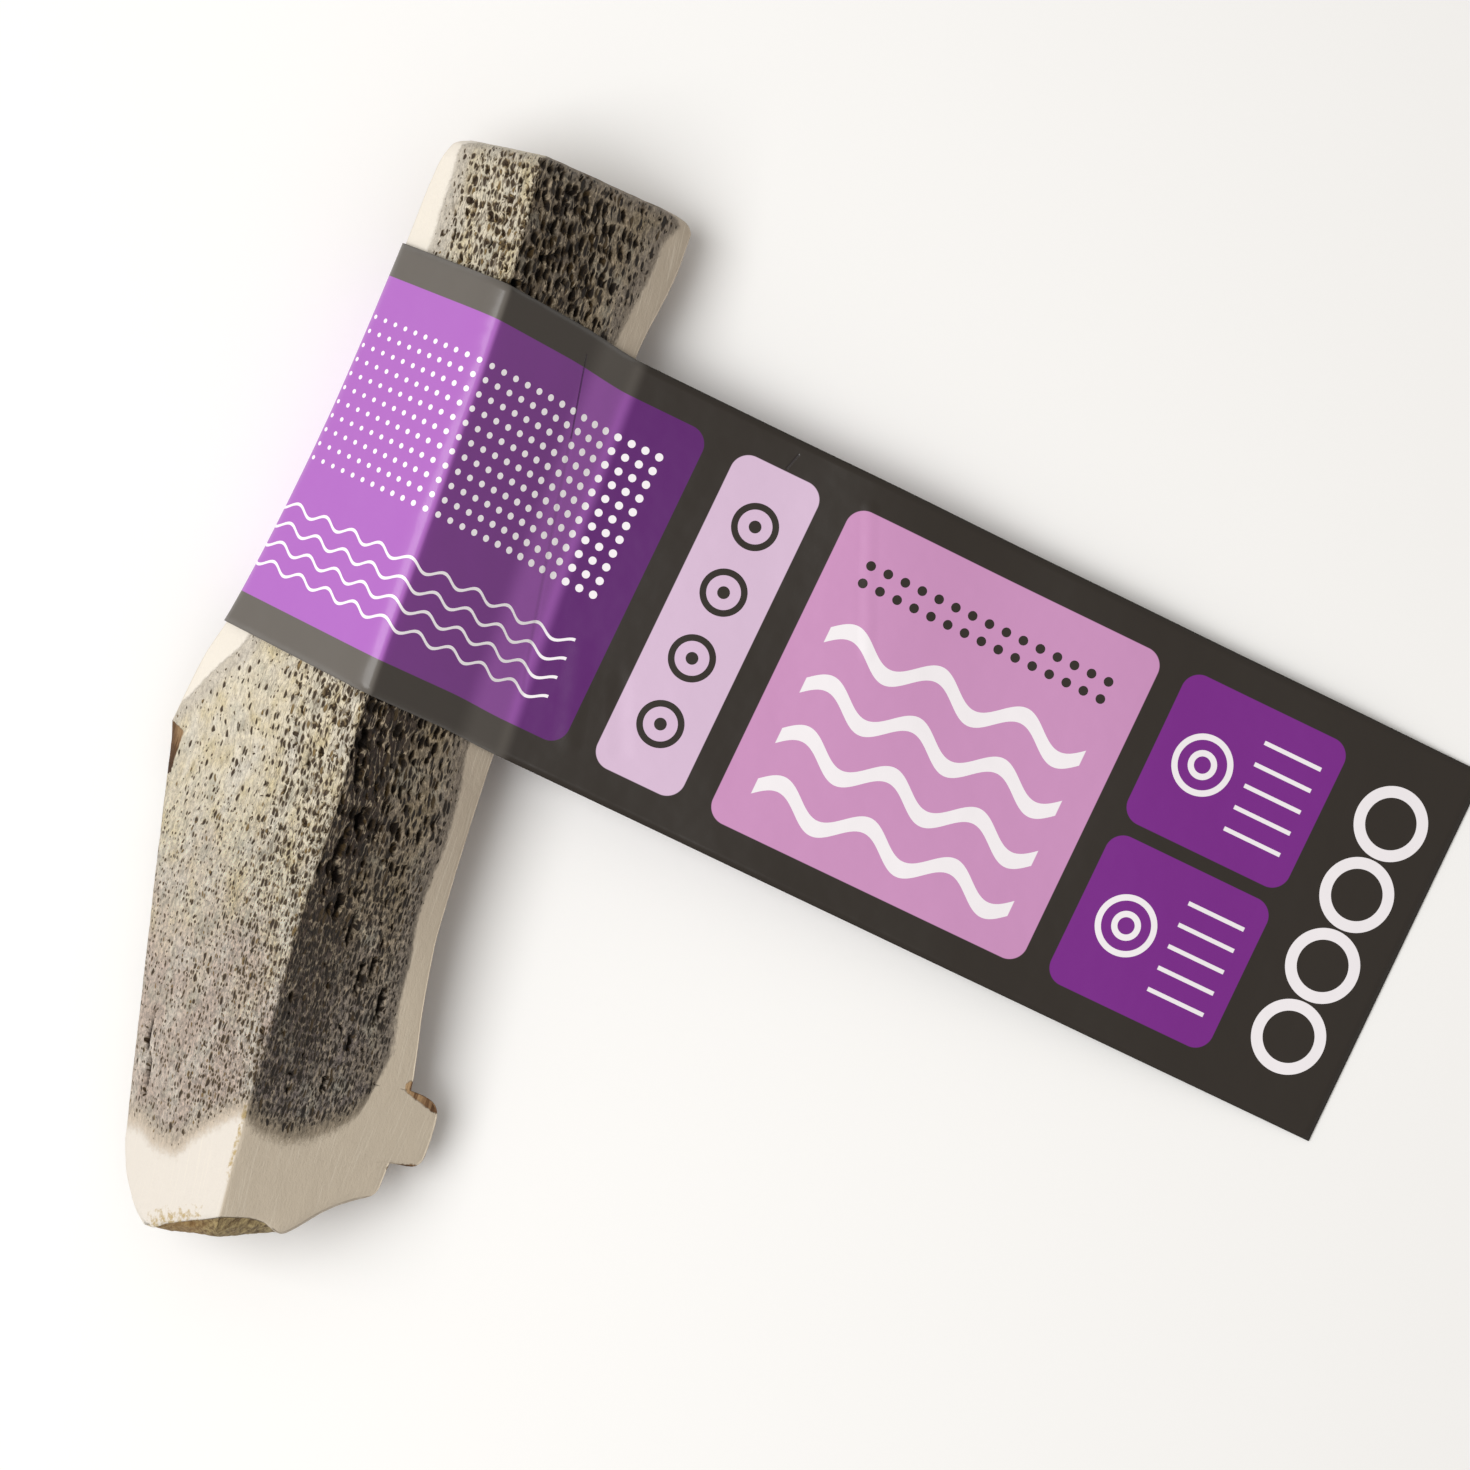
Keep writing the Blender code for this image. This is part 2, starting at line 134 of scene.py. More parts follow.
def barkPoints(station, y, q, relief):  # q runs round the bark side, from the left edge (0) to the right edge (1)
    left = leftEdge(y)
    top = faceHeight(left, y)
    wall = follow(antler["tineHeight"], y)
    startX, startZ = left + wall * antler["tineLean"], top - wall
    endX = follow(antler["rightEdge"], y)
    endZ = faceHeight(endX, y)
    bend = antler["backBend"]
    turn = bend * (2 * q - 1)
    share = 0.5 + 0.5 * np.sin(turn) / math.sin(bend)
    sag = 0.5 * (startZ + endZ) - follow(antler["backZ"], y)
    x = startX + share * (endX - startX)
    z = startZ + share * (endZ - startZ) - sag * (np.cos(turn) - math.cos(bend)) / (1 - math.cos(bend))
    if relief:
        outX, outZ = x - follow(antler["ridgeX"], y), z - follow(antler["ridgeZ"], y)
        swell = (burrSwell(station, q) + barkGrooves(y, q)) / np.hypot(outX, outZ)
        x, z = x + swell * outX, z + swell * outZ
    return np.where(y < antler["tineTop"], np.maximum(x, left + (top - z) * antler["tineLean"]), x), z


def sectionPoints(station, y, part, q, relief=True):
    if part == "bark":
        return barkPoints(station, y, q, relief)
    ridge = follow(antler["ridgeX"], y)
    if part == "right":
        edge = barkPoints(station, y, 1.0, relief)[0]
        x = edge + q * (ridge - edge)
        return x, faceHeight(x, y)
    left = leftEdge(y)
    if part == "left":
        x = ridge + q * (left - ridge)
        return x, faceHeight(x, y)
    down = q * follow(antler["tineHeight"], y)
    return left + down * antler["tineLean"], faceHeight(left, y) - down


def baseSurface(x, z):
    belowFace = faceHeight(x, antler["baseLipAt"]) - z
    lip = follow(antler["baseLip"], x) * np.clip(1 - belowFace / antler["baseLipReach"], 0, None) ** 2
    belowMiddle = np.clip(antler["baseMiddle"][1] - z, 0, None) / antler["baseHalfHeight"]
    return follow(antler["baseEdge"], x) + lip + antler["baseFall"] * belowMiddle**2


def partPoints(stations, part):  # rows of points over one part of the section, bent to the oblique base
    q = np.linspace(0, 1, antler["steps"][part])[None, :]
    station = np.asarray(stations, float)[:, None]
    share = np.clip(station / antler["baseDepth"], 0, 1)
    y = np.where(share < 1, 8 + (antler["baseDepth"] - 8) * share, station) + 0 * q
    for _ in range(40):
        x, z = sectionPoints(station, y, part, q)
        end = baseSurface(x, z)
        y = np.where(share < 1, 0.5 * y + 0.5 * (end + (antler["baseDepth"] - end) * share), y)
    return np.stack((x, y, z), axis=2)


def alongRow(points):  # the distance run along each row of points
    steps = np.linalg.norm(np.diff(points, axis=1), axis=2)
    return np.concatenate((np.zeros((len(points), 1)), np.cumsum(steps, axis=1)), axis=1)


def spread(points, shares):  # each row of points again, at the given shares of its length
    run = alongRow(points)
    rows = []
    for line, length in zip(points, run):
        rows.append([np.interp(shares * length[-1], length, line[:, i]) for i in range(3)])
    return np.array(rows).transpose(0, 2, 1), shares[None, :] * run[:, -1:]


def meshFrom(name, points, faces, fields):  # a piece with its place in its mesh, and its fields as point attributes
    data = bpy.data.meshes.new(name)
    data.from_pydata((points + toTable) * mm, [], faces)
    for title, values in fields.items():
        kind = "FLOAT_VECTOR" if values.ndim == 2 else "FLOAT"
        layer = data.attributes.new(title, kind, "POINT")
        layer.data.foreach_set("vector" if values.ndim == 2 else "value", values.astype(np.float32).ravel())
    data.shade_smooth()
    piece = bpy.data.objects.new(name, data)
    bpy.context.scene.collection.objects.link(piece)
    return piece


# Pores of the core, from coarse to fine: cell size across and along the beam, how far the cells are moved, smallest
# and largest half width as shares of a cell, depth, and how far in from the dense rim they are all there.
# Then the share of cells that hold a pore: by the distance from the ridge on each face, times one along the beam.
poreLayers = (
    dict(cell=(1.0, 1.45), moved=(3.7, 8.1), half=(0.24, 0.52), depth=0.9, lead=4.4,
         left=((0, 0.42), (4, 0.34), (9, 0.26), (15, 0.1), (22, 0.02)),
         right=((0, 0.78), (6, 0.72), (12, 0.54), (17, 0.3), (22, 0.06)),
         along=((16, 0.1), (34, 0.25), (48, 0.75), (58, 1.1), (74, 1.2), (118, 1.85), (135.5, 1.85), (138.5, 0.9))),
    dict(cell=(0.66, 1.4), moved=(17.3, 41.9), half=(0.26, 0.52), depth=0.5, lead=2.6,
         left=((0, 0.95), (8, 0.75), (14, 0.42), (26, 0.25)),
         right=((0, 0.95), (10, 0.92), (16, 0.75), (22, 0.5)),
         along=((10, 0.55), (36, 0.6), (48, 0.8), (58, 1.0), (118, 1.1), (136, 1.1), (138.5, 0.6))),
    dict(cell=(0.42, 0.72), moved=(61.7, 5.3), half=(0.24, 0.46), depth=0.22, lead=0.9,
         left=((0, 0.7), (10, 0.55), (20, 0.42)),
         right=((0, 0.9), (14, 0.85), (20, 0.65)),
         along=((10, 1.1), (42, 1.1), (58, 0.6), (74, 0.5), (118, 0.6), (139, 0.6))),
)

# Where the core opens into pores, as distances from the outer edge of each sawn face and from the base
coreZone = dict(
    leftRim=((58, -3.0), (61.9, 0.4), (67.3, 3.0), (71.9, 4.9), (100, 4.5), (126, 4.2), (129.9, 3.6), (134.4, 3.2),
             (138.3, 1.7)),
    rightRim=((20, 4.4), (29.6, 4.2), (35.7, 3.9), (41.0, 3.4), (46, 3.8), (50, 3.6), (56, 3.0), (62, 3.3),
              (68, 4.3), (122, 3.9), (134.2, 3.9), (139.3, 1.6)),
    base=((-25, 9.6), (-18.7, 10.4), (-14.8, 9.2), (-11, 9.4), (-7.8, 12.3), (-4.4, 15.0), (-0.5, 17.4), (2.6, 16.0),
          (6.4, 15.5), (13, 18.0), (16, 20.7), (17.6, 27.0), (20, 34.0)),
    fade=((8, 3.6), (28, 3.0), (40, 1.2), (60, 1.2), (120, 1.6)),  # how softly the core gives way to dense bone
    greyTo=(1.4, 4.0),  # a greyer, finer band lies inside the rim, as far in as this
    # the grey band also runs along the sawn end, for wear there and as painted light on its rounded edge
    wornAndLitTop=(136.4, 138.8),
    stainAndShadeTo=((16, 3.5), (34, 7.5), (50, 7.5), (60, 7.0), (74, 7.0), (118, 11.5), (136, 10.0)),  # the core is stained dark, and darkened further as painted shade, next
    stainAndShadeFade=4.5,  # to the ridge on the right face, as far as this and then less
    stainAndShadeAlong=((18, 0.25), (34, 0.75), (50, 1.0), (74, 1.0), (118, 0.55), (132, 0.5), (138, 0.2)),
    endRim=(1.3, 3.0),  # the dense rim of the sawn end, under the bark
    endFill=(0.5, 0.65, 0.6),
    sealFrom=((-9, 1.1), (-5.5, 0.9), (-3.5, -0.3), (8, -0.3), (10.5, 0.8), (13, 1.2)),  # by the place across the base
    rust=((-7.5, 0.0), (-5.5, 1.0), (-0.5, 1.0), (2.0, 0.3), (9.0, 0.0)),
    rustDepth=(0.6, 3.6),
)

# Where bark skin creeps over the edge of a sawn face, or stays short of it: face, from, to and how far
skinCreeps = (("right", 15.0, 22.6, -1.6), ("left", 52.0, 59.6, 3.2), ("left", 41.5, 45.0, 3.4))

# Skin left in the corners above and below the burr's knob: start, end, half width
skinStrokes = (((19.4, 25.4), (22.9, 23.8), 1.3), ((20.0, 15.0), (22.5, 15.6), 0.9))

# Single deep cavities: distance across the face from the ridge, distance along, half width, half length, depth
cavities = (
    (14.7, 34.4, 0.5, 2.4, 1.6), (10.7, 36.9, 0.4, 2.0, 1.2), (12.2, 38.4, 0.4, 1.6, 1.2),
    (11.8, 28.9, 0.4, 1.3, 1.0), (9.8, 23.6, 0.36, 1.5, 1.0), (4.0, 55.9, 0.7, 1.5, 1.8),
    (4.8, 44.8, 0.5, 1.8, 1.4), (7.6, 42.6, 0.4, 2.0, 1.2), (3.2, 48.2, 0.5, 1.4, 1.4),
    (1.6, 65.2, 0.6, 1.8, 1.6), (1.9, 60.8, 0.5, 1.5, 1.4), (2.4, 51.8, 0.5, 1.8, 1.4),
    (-20.0, 21.6, 0.45, 2.6, 1.5), (-18.9, 17.0, 0.42, 2.4, 1.4), (-1.3, 27.6, 0.4, 1.1, 0.9),
    (-1.2, 24.9, 0.38, 1.0, 0.9), (-9.8, 63.1, 0.42, 1.1, 0.8), (-9.9, 66.4, 0.38, 1.2, 0.8),
    (-7.0, 60.6, 0.4, 1.3, 0.9), (-6.2, 57.2, 0.42, 0.8, 1.0), (0.9, 122.6, 0.7, 1.6, 2.0),
    (2.9, 119.8, 0.6, 1.2, 1.8), (3.8, 127.4, 0.5, 0.8, 1.4), (2.0, 134.4, 0.45, 0.5, 1.2),
    (5.6, 136.2, 0.4, 0.5, 1.1), (4.2, 131.2, 0.5, 0.8, 1.3), (9.2, 124.6, 0.45, 0.8, 1.2),
    (-2.6, 135.2, 0.3, 0.6, 0.9), (-5.4, 127.5, 0.35, 0.8, 1.0),
)


def capRings(rim, surface, middle):  # the rim drawn in towards a middle, on a surface that gives y for x and z
    rings = []
    for share in antler["capRings"]:
        x = middle[0] + share * (rim[:, 0] - middle[0])
        z = middle[1] + share * (rim[:, 2] - middle[1])
        rings.append(np.stack((x, surface(x, z), z), axis=1))
    return np.array(rings)


def endNet(ring, surface, spacing, facing):  # an even net of points inside an end's last ring, and all its triangles
    middle = ring.mean(axis=0)
    flat = (ring - middle)[:, [0, 2]]
    angles = np.arctan2(flat[:, 1], flat[:, 0])
    order = np.argsort(angles)
    reach = np.abs(flat).max()
    lines = np.arange(-reach, reach, spacing * math.sin(math.pi / 3))
    net = [(x + 0.5 * spacing * (k % 2), z) for k, z in enumerate(lines) for x in np.arange(-reach, reach, spacing)]
    net = np.array(net)
    far = np.interp(np.arctan2(net[:, 1], net[:, 0]), angles[order], np.hypot(*flat[order].T), period=2 * math.pi)
    net = net[np.hypot(*net.T) < far - 0.6 * spacing]
    flat = np.concatenate((flat, net))
    edges = [(i, (i + 1) % len(ring)) for i in range(len(ring))]
    made = delaunay_2d_cdt([Vector(p) for p in flat], edges, [], 1, 1e-5)
    triangles = np.array([[made[3][corner][0] for corner in face] for face in made[2]])
    a, b, c = flat[triangles[:, 0]], flat[triangles[:, 1]], flat[triangles[:, 2]]
    turned = facing * ((b - a)[:, 0] * (c - a)[:, 1] - (b - a)[:, 1] * (c - a)[:, 0]) > 0
    triangles[turned] = triangles[turned][:, ::-1]
    x, z = net[:, 0] + middle[0], net[:, 1] + middle[2]
    return np.stack((x, surface(x, z), z), axis=1), triangles


def rounded(points, weight, times, axis):  # draws points towards the line between their neighbours
    for _ in range(times):
        before, after = np.roll(points, 1, axis), np.roll(points, -1, axis)
        nearBefore = 1 / (1e-6 + np.linalg.norm(points - before, axis=2, keepdims=True))
        nearAfter = 1 / (1e-6 + np.linalg.norm(points - after, axis=2, keepdims=True))
        middle = (before * nearBefore + after * nearAfter) / (nearBefore + nearAfter)
        points = points + 0.6 * weight[:, :, None] * (middle - points)
    return points


def nearest(points, others):  # the distance from each point to the nearest of the others
    return np.array([np.linalg.norm(others - point, axis=1).min() for point in points])


def bodyFields(body, around, lengths):  # what the surface is like at each point between the two ends
    leftRun, leftLength, barkLength, whole = lengths
    leftCount, barkCount, rightCount = antler["columns"]
    y = body[:, :, 1]
    column = np.arange(body.shape[1])[None, :]
    onRight = column >= leftCount + barkCount
    onBark = (column >= leftCount) & ~onRight
    across = np.where(onRight, whole - around, -around)
    toEdge = np.where(onRight, around - leftLength - barkLength, leftRun - around)
    rim = np.where(onRight, follow(coreZone["rightRim"], y), follow(coreZone["leftRim"], y))
    inside = np.minimum(toEdge - rim, y - follow(coreZone["base"], across))
    onWall = (column < leftCount) & (around > leftRun)
    inside = np.where(onWall, np.minimum(leftLength - around - 0.8, y - 12), inside)
    inside = np.where(onBark, -9, inside)
    fade = 0.6 * follow(coreZone["fade"], y)
    core = ease(inside, -fade, fade)
    # the grey band also runs along the sawn end: wear there, and painted light on its rounded edge
    band = np.maximum(1 - ease(inside, *coreZone["greyTo"]), 0.7 * ease(y, *coreZone["wornAndLitTop"]))
    fill = []
    fromBorder = ease(y - follow(coreZone["base"], across), -0.5, 3.4)
    for layer in poreLayers:
        share = np.where(onRight, follow(layer["right"], across), follow(layer["left"], -across))
        share = np.minimum(share * follow(layer["along"], y), 0.97) * ease(inside, -0.6, layer["lead"])
        fill.append(share * fromBorder * ease(antler["sawnEnd"] - y, 0.1, 0.7))
    # a dark stain beside the ridge on the right face, partly real stain and partly painted shade
    wobble = 1.2 * np.sin(y / 6.1) + 0.8 * np.sin(y / 2.3)
    beyond = (across + wobble - follow(coreZone["stainAndShadeTo"], y)) / coreZone["stainAndShadeFade"]
    stainAndShade = np.where(onRight, 1 - ease(beyond, -0.5, 0.5), 0) * follow(coreZone["stainAndShadeAlong"], y)
    intoBark = np.minimum(around - leftLength, leftLength + barkLength - around)  # minus on the sawn faces
    bark = ease(intoBark, 0.2, 2.4)
    for side, low, high, creep in skinCreeps:
        there = ease(y, low, low + 1.2) * (1 - ease(y, high - 1.2, high))
        there = there * ((column > leftCount + barkCount / 2) == (side == "right"))
        intoBark = intoBark + creep * there
    for start, end, wide in skinStrokes:
        run = np.subtract(end, start)
        held = np.clip((body[:, :, :2] - start) @ run / (run @ run), 0, 1)
        away = np.linalg.norm(body[:, :, :2] - start - held[:, :, None] * run, axis=2)
        intoBark = np.maximum(intoBark, wide - away)
    deep = 0 * y
    for place, at, halfWide, halfLong, depth in cavities:
        ragged = 1 + 0.16 * np.sin(2.1 * across + 1.7 * y + place) + 0.12 * np.sin(4.7 * y + at)
        far = np.hypot((across - place) / halfWide, (y - at) / halfLong) * ragged
        deep = np.maximum(deep, depth * (1 - ease(far, 0.45, 1.15)) * (core > 0.3))
    fromBase = y - y[:1]
    rust = follow(coreZone["rust"], body[:, :, 0]) * (1 - ease(fromBase, *coreZone["rustDepth"]))
    onRidge = (1 - ease(np.abs(across + 0.5), 0.3, 1.1)) * ease(y, 7, 11) * (1 - ease(y, 18, 22))
    rust = np.maximum(rust, onRidge)
    crest = (0.3 * np.sin(2.1 * y) + 0.25 * np.sin(5.3 * y + 1)) * ease(y, 20, 30)
    side = np.where(onBark, ease((around - leftLength) / barkLength, 0.4, 0.6), ease(across + crest, -0.5, 0.1))
    seal = ease(-fromBase, follow(coreZone["sealFrom"], body[:, :, 0]), follow(coreZone["sealFrom"], body[:, :, 0]) + 0.9)
    return dict(grain=np.stack((across, y, 0 * y), axis=2), fill=np.stack(fill, axis=2), deep=deep,
                zone=np.stack((core, band, stainAndShade), axis=2), side=side, bark=bark,
                cover=np.stack((ease(intoBark, 0.1, 0.9), seal, rust), axis=2))


def endFields(points, rim, atBase):  # the same for the points of one end
    x, z = points[:, 0], points[:, 2]
    leftCount, barkCount, _ = antler["columns"]
    inwards = nearest(points, rim)
    if atBase:
        start = follow(coreZone["sealFrom"], x)
        seal = ease(inwards, start, start + 0.9)
        core = 0 * x
        grain = np.stack((1.3 * x, 300 + 1.3 * z, 0 * x), axis=1)
    else:
        seal = 0 * x
        core = ease(nearest(points, rim[leftCount : leftCount + barkCount]), *coreZone["endRim"])
        grain = np.stack((x, 200 + 1.9 * z, 0 * x), axis=1)
    rust = follow(coreZone["rust"], x) if atBase else 0 * x
    fill = np.array(coreZone["endFill"])[None, :] * (core * ease(inwards, 0.2, 0.7))[:, None]
    return dict(grain=grain, fill=fill, deep=0 * x, zone=np.stack((core, 0 * x, 0.3 * core), axis=1),
                side=ease(x, -2, 4), bark=0 * x, cover=np.stack((0 * x, seal, rust), axis=1))


def buildAntler():
    stations = [np.arange(low, high - 0.05, step) for low, high, step in antler["rows"]]
    stations = np.concatenate(stations + [[antler["sawnEnd"]]])
    leftCount, barkCount, rightCount = antler["columns"]
    leftPart = partPoints(stations, "left")
    leftRun = alongRow(leftPart)[:, -1:]
    leftAndTine = np.concatenate((leftPart, partPoints(stations, "tine")[:, 1:]), axis=1)
    left, leftAt = spread(leftAndTine, np.linspace(0, 1, leftCount + 1))
    bark, barkAt = spread(partPoints(stations, "bark"), 0.5 - 0.5 * np.cos(np.linspace(0, np.pi, barkCount + 1)))
    right, rightAt = spread(partPoints(stations, "right"), np.linspace(0, 1, rightCount + 1))
    body = np.concatenate((left[:, :-1], bark[:, :-1], right[:, :-1]), axis=1)
    leftLength, barkLength, rightLength = leftAt[:, -1:], barkAt[:, -1:], rightAt[:, -1:]
    whole = leftLength + barkLength + rightLength
    around = np.concatenate(
        (leftAt[:, :-1], leftLength + barkAt[:, :-1], leftLength + barkLength + rightAt[:, :-1]), axis=1)

    # wear rounds the ridge and the long edges, and then the edges of both ends
    fromRidge = np.minimum(around, whole - around)
    soften = 0.3 * np.exp(-((fromRidge / antler["wear"][0]) ** 2))
    for corner, wide in zip((leftRun, leftLength, leftLength + barkLength), antler["wear"][1:]):
        soften = np.maximum(soften, np.exp(-(((around - corner) / wide) ** 2)))
    body = rounded(body, soften, 9, 1)
    sawnAt = lambda x, z: antler["sawnEnd"] + 0 * x
    baseCap = capRings(body[0], baseSurface, antler["baseMiddle"])
    topCap = capRings(body[-1], sawnAt, antler["topMiddle"])
    grid = np.concatenate((baseCap[::-1], body, topCap))
    ends = len(baseCap)
    run = np.cumsum(np.linalg.norm(np.diff(grid, axis=0, prepend=grid[:1]), axis=2), axis=0)
    soften = np.exp(-(((run - run[ends]) / antler["endWear"][0]) ** 2))
    soften = soften + 0.8 * np.exp(-(((run - run[-ends - 1]) / antler["endWear"][1]) ** 2))
    soften[0] = soften[-1] = 0
    grid = rounded(grid, np.minimum(1, soften), 26, 0)

    fields = bodyFields(grid[ends:-ends], around, (leftRun, leftLength, barkLength, whole))
    count = grid.shape[1]
    faces = []
    for low in range(0, (len(grid) - 1) * count, count):
        faces += [(low + i, low + count + i, low + count + (i + 1) % count, low + (i + 1) % count)
                  for i in range(count)]
    points = grid.reshape(-1, 3)
    nets, netFields = [], []
    for ring, low, rim, surface, spacing, facing in (
            (grid[0], 0, grid[ends], baseSurface, antler["capNet"][0], -1),
            (grid[-1], (len(grid) - 1) * count, grid[-ends - 1], sawnAt, antler["capNet"][1], 1)):
        net, triangles = endNet(ring, surface, spacing, facing)
        base = len(points) + sum(len(n) for n in nets)
        faces += np.where(triangles < count, triangles + low, triangles - count + base).tolist()
        nets.append(net)
        netFields.append(endFields(net, rim, facing < 0))
    baseRings = endFields(grid[:ends].reshape(-1, 3), grid[ends], True)
    topRings = endFields(grid[-ends:].reshape(-1, 3), grid[-ends - 1], False)
    for title, values in fields.items():
        middle = values.reshape(-1, 3) if values.ndim == 3 else values.ravel()
        fields[title] = np.concatenate((baseRings[title], middle, topRings[title],
                                        netFields[0][title], netFields[1][title]))
    return meshFrom("antler-bone", np.concatenate([points] + nets), faces, fields)


def linear(hexColour):  # an sRGB hex colour as the linear colour that Blender takes
    channels = [int(hexColour[i : i + 2], 16) / 255 for i in (1, 3, 5)]
    return tuple(c / 12.92 if c <= 0.04045 else ((c + 0.055) / 1.055) ** 2.4 for c in channels) + (1.0,)


def add(tree, kind, links=None, **settings):  # one node; what goes in is a node, an output of one or a plain value
    node = tree.nodes.new(kind)
    for title, value in settings.items():
        setattr(node, title, value)
    for socket, source in (links or {}).items():
        if isinstance(source, bpy.types.Node):
            source = next(o for o in source.outputs if o.enabled)
        if isinstance(socket, str):
            socket = next(i for i, s in enumerate(node.inputs) if s.enabled and s.name == socket)
        if isinstance(source, bpy.types.NodeSocket):
            tree.links.new(source, node.inputs[socket])
        else:
            node.inputs[socket].default_value = source
    return node


def porePattern(tree, grain, side, filled, layer, steep, wall):  # 1 inside the layer's pores, 0 on the walls between
    bend = add(tree, "ShaderNodeTexNoise", {"Vector": grain, "Scale": 0.8, "Detail": 1.0}, noise_dimensions="2D")
    bent = add(tree, "ShaderNodeVectorMath", {0: bend.outputs["Color"], 1: (0.4, 0.8, 0.0), 2: grain},
               operation="MULTIPLY_ADD")
    onRight = add(tree, "ShaderNodeMath", {0: side, 1: 0.5}, operation="GREATER_THAN")
    wide, long = layer["cell"]
    sizes = add(tree, "ShaderNodeMix", {"Factor": onRight, "A": (1 / wide, 1 / long, 0.0),
                                        "B": (1 / wide, 0.65 / long, 0.0)}, data_type="VECTOR")
    placed = add(tree, "ShaderNodeVectorMath", {0: bent, 1: sizes, 2: (*layer["moved"], 0.0)},
                 operation="MULTIPLY_ADD")
    cells = add(tree, "ShaderNodeTexVoronoi", {"Vector": placed, "Scale": 1.0, "Randomness": 0.9},
                voronoi_dimensions="2D")
    chance = add(tree, "ShaderNodeSeparateXYZ", {0: cells.outputs["Color"]})
    half = add(tree, "ShaderNodeMapRange", {0: chance.outputs[0], 3: layer["half"][0], 4: layer["half"][1]})
    spare = add(tree, "ShaderNodeMath", {0: filled, 1: chance.outputs[1]}, operation="SUBTRACT")
    there = add(tree, "ShaderNodeMath", {0: spare, 1: 4.0}, operation="MULTIPLY", use_clamp=True)
    reach = add(tree, "ShaderNodeMath", {0: half, 1: there}, operation="MULTIPLY")
    inner = add(tree, "ShaderNodeMath", {0: reach, 1: steep}, operation="MULTIPLY")
    outer = add(tree, "ShaderNodeMath", {0: reach, 1: 1.6 - steep, 2: 0.001}, operation="MULTIPLY_ADD")
    disc = add(tree, "ShaderNodeMapRange", {0: cells.outputs["Distance"], 1: inner, 2: outer, 3: 1.0, 4: 0.0},
               interpolation_type="SMOOTHSTEP")
    toWall = add(tree, "ShaderNodeTexVoronoi", {"Vector": placed, "Scale": 1.0, "Randomness": 0.9},
                 voronoi_dimensions="2D", feature="DISTANCE_TO_EDGE")
    clear = add(tree, "ShaderNodeMapRange", {0: toWall, 1: 0.02, 2: wall}, interpolation_type="SMOOTHSTEP")
    return add(tree, "ShaderNodeMath", {0: disc, 1: clear}, operation="MULTIPLY"), chance


# How far the real surface stands or falls, as inputs of the tree that carves it
relief = {"Pore depth": 1.0, "Saw unevenness": 0.25, "Furrow depth": 0.7, "Pearl height": 0.8, "Crust depth": 0.7,
          "Seed": 4.0}


